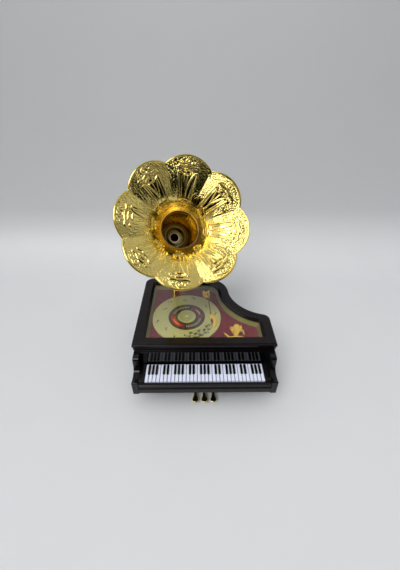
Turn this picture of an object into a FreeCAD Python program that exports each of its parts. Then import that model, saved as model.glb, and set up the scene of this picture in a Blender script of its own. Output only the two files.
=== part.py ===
import FreeCAD, Part
import math
import os

# Piano music box with a gramophone horn, in millimetres, +Z up.
# It is drawn with X = 0 on the piano's middle, Y = 0 at the front of its arms and Z = 0 on the ground,
# and is written out about the middle of its own footprint.

Vector = FreeCAD.Vector
UP = Vector(0, 0, 1)
ALONG = Vector(1, 0, 0)
BACK = Vector(0, 1, 0)

# Clearances
running_gap = 0.05      # radial, a shaft in its bearing
press_gap = 0.01        # radial, a piece pressed on its shaft
side_gap = 0.1          # flat pieces that drop into a recess
screw_gap = 0.05        # radial, a screw in its threaded hole

# Plan of the grand piano, measured at the edge of the lid
lid_width = 150.0
lid_front = 28.3
tail_back = 147.0
cheek_radius = 8.0      # right front corner of the bent side
bent_radius = 47.2      # hollow of the bent side
bent_from_side = 4.5    # its centre, outside the right side
bent_from_back = 26.0
tail_radius = 30.0
corner_radius = 10.0    # left rear corner
bent_x = lid_width / 2 + bent_from_side
bent_y = tail_back - bent_from_back

# Heights
leg_height = 25.6
case_height = 32.6
lid_height = 7.8
board_thickness = 3.0
body_bottom = leg_height
board_top = body_bottom + board_thickness
lid_bottom = body_bottom + case_height
lid_top = lid_bottom + lid_height

# Case
lid_overhang = 2.0
rim_wall = 4.0
ledge_width = 3.0
ledge_thickness = 3.0
deck_thickness = 1.5
deck_drop = 1.7         # from the lid's underside to the velvet
deck_top = lid_bottom - deck_drop
ledge_top = deck_top - deck_thickness
rim_inset = lid_overhang + rim_wall
case_back = tail_back - lid_overhang

# Lid: a moulded frame that holds the window from below
top_board_thickness = 0.7
top_board_inset = 1.8
bead_height = 3.1
bead_round = 0.9
groove_height = 0.6
groove_inset = 1.5
lower_moulding_inset = 0.8
window_inset = 10.2
window_front_inset = 11.0
bevel_width = 2.3
bevel_depth = 3.6
pane_thickness = 1.2
pocket_inset = 9.5
pocket_front_inset = 6.0
liner_slope = 2.5
liner_front_wall = 2.4
pane_top = lid_top - bevel_depth
pane_bottom = pane_top - pane_thickness

# Arms at both ends of the keyboard
arm_thickness = 6.0
arm_back = 32.0
arm_foot_drop = 0.8
arm_foot_length = 7.0
arm_block_top = 42.7
arm_dip_depth = 1.6
arm_dip_back = 12.8
arm_riser_front = 16.4
arm_shoulder = 19.6
arm_edge_round = 0.9
arm_riser_curve = 5.0
arm_shoulder_drop = 4.0
arm_inner = lid_width / 2 - lid_overhang - arm_thickness

# Keyboard
white_key_count = 32
key_block_width = 6.05
white_key_thickness = 3.5
key_slit = 0.3
key_slit_depth = 1.3
key_front = 3.2
key_length = 22.0
black_key_width = 2.2
black_key_height = 2.0
black_key_length = 12.6
black_key_slope = 0.7
key_group_count = (4, 3)    # white keys in each group of black ones
key_bed_wall = 2.5
key_bed_top = 38.0
key_block_drop = 0.6
slip_front = 0.7
slip_drop = 2.2
slip_groove = 0.5
slip_bead = 2.4
fallboard_gap = 0.4
fallboard_thickness = 2.6
key_back = key_front + key_length
keyboard_width = 2 * (arm_inner - 2 * side_gap - key_block_width)
key_width = keyboard_width / white_key_count
white_key_top = key_bed_top + white_key_thickness
fallboard_front = key_back + fallboard_gap
fallboard_back = fallboard_front + fallboard_thickness

# Turntable
disc_from_side = 55.4
disc_from_front = 49.6
disc_radius = 39.8
disc_thickness = 1.5
disc_gap = 0.5
disc_hub_radius = 10.4
disc_hub_height = 0.8
disc_ring_width = 1.2
disc_ring_depth = 0.5
label_radius = 21.4
label_thickness = 0.15
label_gap = 0.3
disc_x = disc_from_side - lid_width / 2
disc_y = lid_front + disc_from_front
disc_bottom = deck_top + disc_gap
disc_top = disc_bottom + disc_thickness
hub_top = disc_top + disc_hub_height

# Tonearm and rose on the velvet
tonearm_from_disc = 24.1
tonearm_from_back = 27.0
tonearm_base_width = 9.4
tonearm_base_depth = 12.0
tonearm_base_height = 2.4
tonearm_block_width = 4.6
tonearm_base_offset = 1.6
tonearm_tube_radius = 0.75
tonearm_height = 3.6
tonearm_swing = 4.1
tonearm_length = 40.3
head_length = 23.0
head_width = 6.6
head_thickness = 1.4
rose_from_side = 37.5
rose_from_front = 28.7
rose_radius = 7.4
rose_height = 3.6
rose_petals = 6
rose_stem_along = 14.0
rose_stem_down = 11.8
rose_stem_width = 1.8
rose_stem_height = 1.6
rose_leaf_height = 1.1
rose_leaf_along = 12.5
rose_leaf_down = 7.8
rose_leaf_length = 7.0
rose_leaf_width = 3.4
tonearm_x = disc_x + tonearm_from_disc
tonearm_y = tail_back - tonearm_from_back
rose_x = lid_width / 2 - rose_from_side
rose_y = lid_front + rose_from_front

# Pedals
pedal_spacing = 8.2
pedal_front = 4.8
pedal_flare = 1.6
pedal_height = 4.6
pedal_thickness = 1.6
pedal_stem_width = 2.2
pedal_spoon_radius = 2.6
lyre_front = 18.0
lyre_depth = 7.0
lyre_width = 24.0
lyre_box_height = 5.6
lyre_box_bottom = 2.2
lyre_post_radius = 1.7
lyre_post_spacing = 13.0

# Legs
leg_from_arm = 8.0
leg_from_fallboard = 4.8
leg_from_disc = 4.4
leg_from_back = 19.0
leg_top_radius = 7.0
leg_top_thickness = 2.2
leg_neck_radius = 3.2
leg_bulb_radius = 5.2
leg_foot_radius = 4.4
leg_foot_height = 2.2
leg_ankle_height = 4.4
leg_calf_height = 10.0
leg_calf_radius = 3.6
leg_bulb_top = 4.4
leg_bulb_height = 1.6
leg_collar_height = 2.0
pad_radius = 4.0
pad_thickness = 1.0
leg_front_x = arm_inner - leg_from_arm
leg_front_y = fallboard_back + leg_from_fallboard
leg_rear_x = disc_x - leg_from_disc
leg_rear_y = tail_back - leg_from_back

# Case screws and their bosses
boss_radius = 3.5
boss_height = 16.0
boss_inset = 8.5
boss_from_back = (35.0, 87.0)
boss_from_front = 23.7
boss_from_corner = (19.0, 75.0)
screw_radius = 1.05
screw_length = 12.0
screw_head_radius = 2.2
screw_head_height = 1.4
screw_slot_width = 0.5
screw_slot_depth = 0.6
screw_grip = 5.0        # thread of a small screw in its post

# Movement: spring barrel
bedplate_thickness = 2.5
bedplate_left = 15.0
bedplate_right = 41.0
bedplate_front = 22.0
bedplate_back = 22.0
barrel_radius = 10.4
barrel_wall = 0.8
barrel_height = 9.4
barrel_floor = 1.6
barrel_lift = 2.9
cap_thickness = 1.2
arbor_radius = 1.75
arbor_hub_radius = 2.6
ratchet_teeth = 12
ratchet_radius = 5.8
ratchet_depth = 1.1
ratchet_thickness = 1.7
ratchet_lift = 0.4
click_pivot_radius = 10.5
click_pivot_angle = 225.0
click_tip_angle = 272.5
click_pin_radius = 0.8
click_boss_radius = 1.7
click_width = 1.5
spring_strip = 0.35
spring_pitch = 1.05
spindle_radius = 1.6
spindle_flange_radius = 5.0
spindle_flange_thickness = 1.0
bridge_gap = 1.0
bridge_thickness = 1.6
bridge_post_u = -11.8
bridge_post_v = 11.4
bridge_post_radius = 2.2
bridge_arm_width = 4.4

# Movement: gear train, from the barrel's crown teeth to the governor
crown_module = 0.5
crown_teeth = 48
crown_pinion_teeth = 12
crown_face = 2.2
crown_depth = 0.62
pinion_face = 1.8
train_module = 0.4
cylinder_wheel_teeth = 36
train_pinion_teeth = 12
train_face = 1.2
worm_wheel_teeth = 16
worm_starts = 2
worm_radius = 1.3
worm_thread = 0.36
worm_length = 8.0
tooth_share = 0.42      # a tooth's share of its pitch
mesh_gap = 0.05
cylinder_radius = 6.5
cylinder_length = 14.4
cylinder_arbor_radius = 1.0
pin_radius = 0.16
pin_height = 0.55
pins_per_note = 4
train_arbor_radius = 0.7
bearing_u = 14.4
bearing_thickness = 1.4
cylinder_u = 16.4
cylinder_wheel_u = 31.4
train_plate_u = 33.6
train_plate_thickness = 1.6
worm_wheel_u = 36.4
worm_wheel_face = 1.0
outer_cock_u = 38.8
bearing_half_width = 3.5
bearing_head = 3.6
train_bearing_half = 2.45
governor_radius = 0.6
fan_radius = 4.0
fan_height = 4.5
fan_thickness = 0.5
fan_hub_radius = 1.1
fan_lift = 5.3
cock_post = 2.2
cock_arm = 1.4
cock_width = 4.0

# Movement: comb
note_count = 18
comb_gap = 0.6
comb_tooth_length = 8.6
comb_tooth_thickness = 0.8
comb_slit = 0.2
comb_base_depth = 5.6
comb_base_thickness = 1.4
comb_block_margin = 0.5
comb_screw_inset = 3.2
comb_screw_u = (cylinder_u + comb_screw_inset, cylinder_u + cylinder_length - comb_screw_inset)

# Winding key
key_sleeve_radius = 3.3
key_sleeve_length = 9.6
key_top_gap = 0.9
key_wing_width = 22.0
key_wing_height = 11.5
key_wing_thickness = 2.0
key_wing_hole_radius = 2.6
key_hole_margin = 0.6
key_web_overlap = 1.0

# Stop slider that catches the governor's fan
stop_travel = 4.0
stop_plate_u = 45.2
stop_plate_length = 5.4
stop_plate_width = 6.0
stop_plate_thickness = 1.0
stop_wire_radius = 0.5
stop_wire_u = 45.9
stop_finger_reach = 3.8
stop_neck_u = 47.9
stop_neck_radius = 1.4
stop_knob_radius = 3.4
stop_knob_height = 2.8
stop_knob_gap = 0.2

# Horn: eight petals round an axis that leans back and is turned a little to the right
petal_count = 8
mouth_from_side = 55.8
mouth_from_back = 47.6
mouth_above_lid = 102.7
horn_turn = 15.6
horn_lean = 38.3
petal_phase = 75.2
petal_tip_radius = 69.4
petal_notch_radius = 63.5
petal_crease = 4.7      # how far the creases lie behind the middles of the petals at the rim
horn_wall = 1.2
bell_depth = 34.0
bell_throat_radius = 21.3
bell_cone = 0.52        # share of the bell's depth that is a plain cone; the rest curves to the throat
bell_curve = 3.8
petal_columns = 9
petal_rows = 10
funnel_depth = 84.0
funnel_lip = 1.8
funnel_straight = 4.0
funnel_curve = 1.5
funnel_gap = 0.1
neck_radius = 6.5
neck_bore = 5.3
neck_reach = 4.0        # how far the neck stands into the funnel
neck_bend = 12.0
neck_ring_radius = 8.0
neck_ring_height = 3.0
spigot_radius = 5.0
spigot_length = 13.0

# Socket behind the tail
socket_above_board = 21.4
socket_height = 17.0
socket_wall = 2.4
socket_plate_width = 26.0
socket_plate_height = 20.0
socket_plate_thickness = 2.4
socket_arm_width = 9.0
socket_screw_spacing = 18.0
socket_top = board_top + socket_above_board


def block(x0, x1, y0, y1, z0, z1):
    """A box between two corners."""
    return Part.makeBox(x1 - x0, y1 - y0, z1 - z0, Vector(x0, y0, z0))


def post(x, y, z0, z1, radius):
    """An upright cylinder."""
    return Part.makeCylinder(radius, z1 - z0, Vector(x, y, z0), UP)


def rod(start, end, radius):
    """A cylinder from one point to another."""
    return Part.makeCylinder(radius, (end - start).Length, start, end - start)


def prism(points, direction):
    """A flat polygon swept along a direction."""
    wire = Part.makePolygon(list(points) + [points[0]])
    return Part.Face(wire).extrude(direction)


def slab(wire, z0, z1):
    """The inside of a level outline, drawn at height 0, between two heights."""
    shape = Part.Face(wire).extrude(Vector(0, 0, z1 - z0))
    shape.translate(Vector(0, 0, z0))
    return shape


def arc(start, middle, end):
    """A round edge through three points."""
    return Part.Arc(start, middle, end).toShape()


def turned(profile, centre, axis):
    """A closed outline turned round an axis."""
    wire = Part.makePolygon(list(profile) + [profile[0]])
    return Part.Face(wire).revolve(centre, axis, 360)


def join(shapes):
    """Pieces fused into one solid."""
    first, rest = shapes[0], shapes[1:]
    return first.fuse(rest).removeSplitter() if rest else first


def outline(inset, front=None):
    """The grand piano's plan, drawn inwards from the lid's edge by an inset."""
    front_y = lid_front + (inset if front is None else front)
    side = lid_width / 2 - inset
    back = tail_back - inset
    hollow = bent_radius + inset
    cheek = max(cheek_radius - inset * 0.5, 2.0)
    tail = tail_radius - inset
    corner = max(corner_radius - inset, 2.0)

    cheek_x = side - cheek
    cheek_y = bent_y - math.sqrt((hollow + cheek) ** 2 - (bent_x - cheek_x) ** 2)
    tail_y = back - tail
    tail_x = bent_x - math.sqrt((hollow + tail) ** 2 - (bent_y - tail_y) ** 2)

    def on_circle(cx, cy, radius, angle):
        return Vector(cx + radius * math.cos(angle), cy + radius * math.sin(angle), 0)

    cheek_angle = math.atan2(bent_y - cheek_y, bent_x - cheek_x)
    tail_angle = math.atan2(bent_y - tail_y, bent_x - tail_x)
    hollow_start = cheek_angle + math.pi
    hollow_end = tail_angle + math.pi
    front_left = Vector(-side, front_y, 0)
    front_right = Vector(side, front_y, 0)
    cheek_start = Vector(side, cheek_y, 0)
    cheek_end = on_circle(cheek_x, cheek_y, cheek, cheek_angle)
    hollow_stop = on_circle(bent_x, bent_y, hollow, hollow_end)
    tail_end = Vector(tail_x, back, 0)
    corner_start = Vector(-side + corner, back, 0)
    corner_end = Vector(-side, back - corner, 0)
    return Part.Wire([
        Part.makeLine(front_left, front_right),
        Part.makeLine(front_right, cheek_start),
        arc(cheek_start, on_circle(cheek_x, cheek_y, cheek, cheek_angle / 2), cheek_end),
        arc(cheek_end, on_circle(bent_x, bent_y, hollow, (hollow_start + hollow_end) / 2), hollow_stop),
        arc(hollow_stop, on_circle(tail_x, tail_y, tail, (tail_angle + math.pi / 2) / 2), tail_end),
        Part.makeLine(tail_end, corner_start),
        arc(corner_start, on_circle(-side + corner, back - corner, corner, 0.75 * math.pi), corner_end),
        Part.makeLine(corner_end, front_left),
    ])


def level(wire, height):
    """A copy of an outline at a height."""
    copy = wire.copy()
    copy.translate(Vector(0, 0, height))
    return copy


def tapered(low_wire, z0, high_wire, z1):
    """A solid between two outlines at two heights."""
    return Part.makeLoft([level(low_wire, z0), level(high_wire, z1)], True, True)


def screw(seat, direction, length):
    """A slotted screw, from the seat of its head along a direction."""
    head_end = seat - direction * screw_head_height
    head = rod(head_end, seat, screw_head_radius)
    shape = join([head, rod(seat, seat + direction * length, screw_radius)])
    side = ALONG * (screw_slot_width / 2)
    across = ALONG.cross(direction) * (screw_head_radius + 1)
    start = head_end - direction
    corners = [start - side - across, start + side - across, start + side + across, start - side + across]
    return shape.cut(prism(corners, direction * (1 + screw_slot_depth)))


def at(u, v, z=0.0):
    """A point of the movement, counted from the turntable's axis."""
    return Vector(disc_x + u, disc_y + v, z)


# Places that several pieces share

bedplate_top = board_top + bedplate_thickness
flange_bottom = bedplate_top + barrel_lift
flange_top = flange_bottom + barrel_floor
crown_radius = crown_module * crown_teeth / 2
flange_radius = crown_radius + crown_face / 2 + crown_module
crown_pitch_z = flange_top + crown_depth
train_z = crown_pitch_z + crown_module * crown_pinion_teeth / 2
barrel_top = flange_top + barrel_height
cap_top = barrel_top + cap_thickness
bridge_bottom = cap_top + spindle_flange_thickness + bridge_gap
cylinder_wheel_radius = train_module * cylinder_wheel_teeth / 2
train_pinion_radius = train_module * train_pinion_teeth / 2
train_v = cylinder_wheel_radius + train_pinion_radius + mesh_gap
worm_wheel_radius = train_module * worm_wheel_teeth / 2
worm_u = worm_wheel_u + worm_wheel_face / 2
worm_v = train_v + worm_wheel_radius + worm_radius + mesh_gap
worm_lead = math.pi * train_module * worm_starts
fan_bottom = train_z + fan_lift
fan_top = fan_bottom + fan_height
cock_top = fan_top + running_gap + cock_arm + 1.0
cock_v = worm_v + fan_radius + 1.0
comb_tip_v = -cylinder_radius - comb_gap
comb_root_v = comb_tip_v - comb_tooth_length
comb_bottom = train_z - comb_base_thickness / 2
note_pitch = cylinder_length / note_count
ratchet_bottom = bedplate_top + ratchet_lift
key_sleeve_top = body_bottom - key_top_gap
key_sleeve_bottom = key_sleeve_top - key_sleeve_length

horn_turn_angle = math.radians(horn_turn)
horn_lean_angle = math.radians(horn_lean)
mouth = Vector(mouth_from_side - lid_width / 2, tail_back - mouth_from_back, lid_top + mouth_above_lid)
horn_level = Vector(math.sin(horn_turn_angle), -math.cos(horn_turn_angle), 0)
horn_out = horn_level * math.cos(horn_lean_angle) + UP * math.sin(horn_lean_angle)
horn_right = Vector(math.cos(horn_turn_angle), math.sin(horn_turn_angle), 0)
horn_up = horn_out.cross(horn_right)
neck_straight_end = funnel_depth + neck_ring_height + 1.0
neck_bend_start = mouth - horn_out * neck_straight_end
neck_inwards = horn_level * math.sin(horn_lean_angle) - UP * math.cos(horn_lean_angle)
neck_bend_centre = neck_bend_start + neck_inwards * neck_bend
neck_bend_end = neck_bend_centre - horn_level * neck_bend
neck_x = neck_bend_end.x
neck_y = neck_bend_end.y


# Case


def boss_places():
    """The plan points of the case screws, just inside the rim."""
    side = lid_width / 2 - boss_inset
    back = tail_back - boss_inset
    hollow = (bent_radius + boss_inset) * math.sqrt(0.5)
    places = [(-side, tail_back - distance) for distance in boss_from_back]
    places += [(side, lid_front + boss_from_front), (bent_x - hollow, bent_y - hollow)]
    return places + [(distance - lid_width / 2, back) for distance in boss_from_corner]


def socket_screw_places():
    """Where the screws of the horn's socket enter the back of the rim."""
    middle = socket_top - socket_height / 2
    return [(neck_x - socket_screw_spacing / 2, middle), (neck_x + socket_screw_spacing / 2, middle)]


def leg_places():
    return {
        "front_left_leg": (-leg_front_x, leg_front_y),
        "front_right_leg": (leg_front_x, leg_front_y),
        "rear_leg": (leg_rear_x, leg_rear_y),
    }


def arm_room(gap):
    """The space at the front that belongs to both arms, with a gap beside it."""
    reach = lid_width / 2
    inner = arm_inner - gap
    left = block(-reach, -inner, -1, arm_back + gap, 0, lid_bottom)
    return left.fuse(block(inner, reach, -1, arm_back + gap, 0, lid_bottom))


def make_case_rim():
    shape = slab(outline(lid_overhang), body_bottom, lid_bottom)
    shape = shape.cut(slab(outline(rim_inset, front=-lid_front), body_bottom, lid_bottom))
    ledge = slab(outline(rim_inset - rim_wall / 2), ledge_top - ledge_thickness, ledge_top)
    ledge = ledge.cut(slab(outline(rim_inset + ledge_width, front=-lid_front), 0, lid_top))
    bosses = [post(x, y, board_top, board_top + boss_height, boss_radius) for x, y in boss_places()]
    shape = join([shape, ledge] + bosses)
    shape = shape.cut(block(-lid_width, lid_width, 0, arm_back, 0, lid_top))
    for x, y in boss_places():
        shape = shape.cut(post(x, y, board_top, board_top + screw_length, screw_radius + screw_gap))
    for x, z in socket_screw_places():
        start = Vector(x, case_back, z)
        shape = shape.cut(rod(start, start - BACK * rim_wall, screw_radius + screw_gap))
    return shape


def make_bottom_board():
    front = key_front - side_gap - lid_front
    shape = slab(outline(rim_inset + side_gap, front=front), body_bottom, board_top)
    shape = shape.cut(arm_room(side_gap))
    holes = boss_places() + list(leg_places().values()) + movement_screw_places()
    for x, y in holes:
        shape = shape.cut(post(x, y, 0, board_top, screw_radius + side_gap))
    shape = shape.cut(post(disc_x, disc_y, 0, board_top, arbor_radius + key_hole_margin))
    slot_start = at(stop_neck_u - stop_travel, worm_v)
    slot_end = at(stop_neck_u, worm_v)
    radius = stop_neck_radius + side_gap
    for place in (slot_start, slot_end):
        shape = shape.cut(post(place.x, place.y, 0, board_top, radius))
    middle = slot_end.y
    return shape.cut(block(slot_start.x, slot_end.x, middle - radius, middle + radius, 0, board_top))


def make_arm(side):
    """One arm, -1 on the left and 1 on the right: a front block, a dip and a curved riser up to the lid."""
    foot = body_bottom - arm_foot_drop
    edge = arm_edge_round
    dip_end = arm_block_top - arm_dip_depth / 3
    riser_low = arm_block_top + arm_riser_curve
    riser_high = lid_bottom - arm_shoulder_drop

    def point(y, z):
        return Vector(side * arm_inner, y, z)

    corner = point(edge, arm_block_top)
    dip = point(arm_dip_back, dip_end)
    low = point(arm_riser_front, riser_low)
    high = point(arm_riser_front + 0.5, riser_high)
    shoulder = point(arm_shoulder, lid_bottom)
    wire = Part.Wire([
        Part.makeLine(point(0, foot), point(0, arm_block_top - edge)),
        arc(point(0, arm_block_top - edge), point(edge * 0.3, arm_block_top - edge * 0.3), corner),
        arc(corner, point((edge + arm_dip_back) / 2, arm_block_top - arm_dip_depth), dip),
        arc(dip, point(arm_riser_front - 1.0, dip_end + 1.9), low),
        Part.makeLine(low, high),
        arc(high, point(arm_riser_front + 1.3, lid_bottom - 1.1), shoulder),
        Part.makeLine(shoulder, point(arm_back, lid_bottom)),
        Part.makeLine(point(arm_back, lid_bottom), point(arm_back, body_bottom)),
        Part.makeLine(point(arm_back, body_bottom), point(arm_foot_length, body_bottom)),
        Part.makeLine(point(arm_foot_length, body_bottom), point(arm_foot_length, foot)),
        Part.makeLine(point(arm_foot_length, foot), point(0, foot)),
    ])
    return Part.Face(wire).extrude(ALONG * side * arm_thickness)


def make_lid_frame():
    bead_top = lid_top - top_board_thickness
    bead_bottom = bead_top - bead_height
    groove_bottom = bead_bottom - groove_height
    bead = slab(outline(0), bead_bottom, bead_top)
    level_edges = [edge for edge in bead.Edges if edge.BoundBox.ZLength < 0.01]
    bead = bead.makeFillet(bead_round, level_edges)
    stack = [
        slab(outline(lower_moulding_inset), lid_bottom, groove_bottom),
        slab(outline(groove_inset), groove_bottom, bead_bottom),
        bead,
        slab(outline(top_board_inset), bead_top, lid_top),
        slab(outline(rim_inset + side_gap, front=side_gap), deck_top, lid_bottom).cut(arm_room(side_gap)),
    ]
    shape = join(stack)
    low = outline(window_inset + bevel_width, front=window_front_inset)
    shape = shape.cut(tapered(low, pane_top, outline(window_inset, front=window_front_inset), lid_top))
    return shape.cut(slab(outline(pocket_inset, front=pocket_front_inset), deck_top - 1, pane_top))


def pocket_outline():
    """The plan of what drops into the lid's pocket."""
    return outline(pocket_inset + side_gap, front=pocket_front_inset + side_gap)


def make_window_pane():
    return slab(pocket_outline(), pane_bottom, pane_top)


def make_window_liner():
    front = pocket_front_inset + side_gap + liner_front_wall
    high = outline(window_inset + bevel_width, front=front)
    low = outline(window_inset + bevel_width + liner_slope, front=front)
    return slab(pocket_outline(), deck_top, pane_bottom).cut(tapered(low, deck_top, high, pane_bottom))


def make_velvet_deck():
    front = fallboard_back + side_gap - lid_front
    shape = slab(outline(rim_inset + side_gap, front=front), ledge_top, deck_top)
    shape = shape.cut(arm_room(side_gap))
    return shape.cut(post(disc_x, disc_y, 0, deck_top, spindle_radius + disc_gap))


def make_legs():
    """Turned legs, with the hole for the screw that holds each one."""
    legs = {}
    bottom = pad_thickness
    top_plate = body_bottom - leg_top_thickness
    bulb_top = top_plate - leg_bulb_top
    for name, (x, y) in leg_places().items():
        profile = [
            (0, bottom),
            (leg_foot_radius, bottom),
            (leg_foot_radius, bottom + leg_foot_height),
            (leg_neck_radius, bottom + leg_ankle_height),
            (leg_calf_radius, bottom + leg_calf_height),
            (leg_bulb_radius, bulb_top - leg_bulb_height),
            (leg_bulb_radius, bulb_top),
            (leg_neck_radius, top_plate - leg_collar_height),
            (leg_neck_radius, top_plate),
            (leg_top_radius, top_plate),
            (leg_top_radius, body_bottom),
            (0, body_bottom),
        ]
        points = [Vector(x + radius, y, z) for radius, z in profile]
        leg = turned(points, Vector(x, y, 0), UP)
        hole_bottom = board_top - screw_length - side_gap
        legs[name] = leg.cut(post(x, y, hole_bottom, body_bottom, screw_radius + screw_gap))
    return legs


def make_foot_pads():
    return Part.makeCompound([post(x, y, 0, pad_thickness, pad_radius) for x, y in leg_places().values()])


def make_screws():
    """The fasteners of the case, each kind as one group of separate screws."""
    movement_length = bedplate_top - body_bottom - side_gap
    plate_back = case_back + socket_plate_thickness
    socket_length = socket_plate_thickness + rim_wall
    comb_top = comb_bottom + comb_base_thickness
    groups = {
        "case_screws": [screw(Vector(x, y, body_bottom), UP, screw_length) for x, y in boss_places()],
        "leg_screws": [screw(Vector(x, y, board_top), -UP, screw_length) for x, y in leg_places().values()],
        "movement_screws": [
            screw(Vector(x, y, body_bottom), UP, movement_length) for x, y in movement_screw_places()
        ],
        "socket_screws": [
            screw(Vector(x, plate_back, z), -BACK, socket_length) for x, z in socket_screw_places()
        ],
        "bridge_screws": [
            screw(at(bridge_post_u, v, bridge_bottom + bridge_thickness), -UP, bridge_thickness + screw_grip)
            for v in (-bridge_post_v, bridge_post_v)
        ],
        "comb_screws": [
            screw(at(u, comb_screw_v(), comb_top), -UP, comb_base_thickness + screw_grip) for u in comb_screw_u
        ],
    }
    return {name: Part.makeCompound(screws) for name, screws in groups.items()}


# Keyboard


def make_key_bed():
    reach = arm_inner - side_gap
    back = fallboard_back
    shape = block(-reach, reach, key_front, back, board_top, key_bed_top)
    inside = block(
        -reach + key_bed_wall,
        reach - key_bed_wall,
        key_front + key_bed_wall,
        back - key_bed_wall,
        board_top,
        key_bed_top - key_bed_wall,
    )
    return shape.cut(inside)


def make_key_slip():
    """The rail along the front: an apron, a groove and a bead."""
    back = key_front - side_gap
    top = white_key_top - slip_drop
    bead_bottom = top - slip_bead
    groove_bottom = bead_bottom - slip_groove
    bead_front = slip_front - slip_groove
    profile = [
        (back, body_bottom),
        (slip_front, body_bottom),
        (slip_front, groove_bottom),
        (slip_front + slip_groove, groove_bottom),
        (slip_front + slip_groove, bead_bottom),
        (bead_front, bead_bottom),
        (bead_front, top - slip_groove),
        (bead_front + slip_groove, top),
        (back, top),
    ]
    reach = arm_inner - side_gap
    return prism([Vector(-reach, y, z) for y, z in profile], ALONG * 2 * reach)


def make_key_block(side):
    inner = keyboard_width / 2 + side_gap
    left, right = sorted((side * inner, side * (arm_inner - side_gap)))
    return block(left, right, key_front, key_back, key_bed_top, white_key_top - key_block_drop)


def make_white_keys():
    """One moulded strip with a slit between each two keys."""
    left = -keyboard_width / 2
    slit_bottom = white_key_top - key_slit_depth
    profile = [(left, key_bed_top), (-left, key_bed_top), (-left, white_key_top)]
    for number in range(white_key_count - 1, 0, -1):
        middle = left + number * key_width
        profile += [(middle + key_slit / 2, white_key_top), (middle + key_slit / 2, slit_bottom)]
        profile += [(middle - key_slit / 2, slit_bottom), (middle - key_slit / 2, white_key_top)]
    profile.append((left, white_key_top))
    return prism([Vector(x, key_front, z) for x, z in profile], BACK * key_length)


def black_key_places():
    """The middle of each black key: none where two groups of white keys meet."""
    places = []
    number = 0
    group = 0
    while number < white_key_count:
        whites = key_group_count[group % len(key_group_count)]
        places += [number + step for step in range(1, whites)]
        number += whites
        group += 1
    return [-keyboard_width / 2 + place * key_width for place in places if place < white_key_count]


def make_black_keys():
    back = key_back - black_key_slope
    front = back - black_key_length
    profile = [
        (front, white_key_top),
        (front + black_key_slope, white_key_top + black_key_height),
        (back, white_key_top + black_key_height),
        (back, white_key_top),
    ]
    keys = []
    for x in black_key_places():
        points = [Vector(x - black_key_width / 2, y, z) for y, z in profile]
        keys.append(prism(points, ALONG * black_key_width))
    return Part.makeCompound(keys)


def make_fallboard():
    """The upright panel behind the keys, with the shelf that carries the front of the velvet deck."""
    reach = arm_inner - side_gap
    panel = block(-reach, reach, fallboard_front, fallboard_back, key_bed_top, lid_bottom)
    shelf_bottom = ledge_top - ledge_thickness
    shelf = block(-reach, reach, fallboard_front, arm_back - side_gap, shelf_bottom, ledge_top)
    return join([panel, shelf])


# Pedals


def make_pedal_lyre():
    box_top = lyre_box_bottom + lyre_box_height
    back = lyre_front + lyre_depth
    middle = (lyre_front + back) / 2
    shapes = [block(-lyre_width / 2, lyre_width / 2, lyre_front, back, lyre_box_bottom, box_top)]
    for side in (-1, 1):
        x = side * lyre_post_spacing / 2
        shapes.append(post(x, middle, box_top - lyre_post_radius, body_bottom, lyre_post_radius))
    return join(shapes)


def make_pedal(number):
    """One pedal, -1 left, 0 middle, 1 right: a stem that ends in a round spoon, turned outwards."""
    x = number * pedal_spacing
    tip_x = x + number * pedal_flare
    tip_y = pedal_front + pedal_spoon_radius
    half = pedal_stem_width / 2
    stem = prism(
        [
            Vector(x - half, lyre_front, pedal_height),
            Vector(x + half, lyre_front, pedal_height),
            Vector(tip_x + half, tip_y, pedal_height),
            Vector(tip_x - half, tip_y, pedal_height),
        ],
        UP * pedal_thickness,
    )
    spoon = post(tip_x, tip_y, pedal_height, pedal_height + pedal_thickness, pedal_spoon_radius)
    return join([stem, spoon])


# Turntable, tonearm and rose


def make_turntable_disc():
    """The record: a disc with a stepped hub, a ring groove in the hub and the bore for its spindle."""
    shape = join([
        post(disc_x, disc_y, disc_bottom, disc_top, disc_radius),
        post(disc_x, disc_y, disc_top - 0.1, hub_top, disc_hub_radius),
    ])
    ring_outer = disc_hub_radius * 0.7
    ring = post(disc_x, disc_y, hub_top - disc_ring_depth, hub_top, ring_outer)
    ring = ring.cut(post(disc_x, disc_y, 0, hub_top, ring_outer - disc_ring_width))
    return shape.cut(ring).cut(post(disc_x, disc_y, 0, hub_top, spindle_radius + press_gap))


def make_record_label():
    ring = post(disc_x, disc_y, disc_top, disc_top + label_thickness, label_radius)
    return ring.cut(post(disc_x, disc_y, 0, hub_top, disc_hub_radius + label_gap))


def tonearm_line():
    """The tonearm's axis, from inside its block to inside its head."""
    start = Vector(tonearm_x + tonearm_base_offset, tonearm_y, deck_top + tonearm_height)
    end = Vector(tonearm_x + tonearm_swing, tonearm_y - tonearm_length, deck_top + tonearm_height)
    return start, end


def make_tonearm_base():
    plate = block(
        tonearm_x - tonearm_base_width / 2,
        tonearm_x + tonearm_base_width / 2,
        tonearm_y - tonearm_base_depth / 2,
        tonearm_y + tonearm_base_depth / 2,
        deck_top,
        deck_top + tonearm_base_height,
    )
    top = deck_top + tonearm_height + tonearm_tube_radius - side_gap
    start, end = tonearm_line()
    cradle = block(
        start.x - tonearm_block_width / 2,
        start.x + tonearm_block_width / 2,
        tonearm_y - tonearm_base_depth / 4,
        tonearm_y + tonearm_base_depth / 3,
        deck_top,
        top,
    )
    return join([plate, cradle]).cut(rod(start, end, tonearm_tube_radius + press_gap))


def make_tonearm_tube():
    start, end = tonearm_line()
    return rod(start, end, tonearm_tube_radius)


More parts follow.
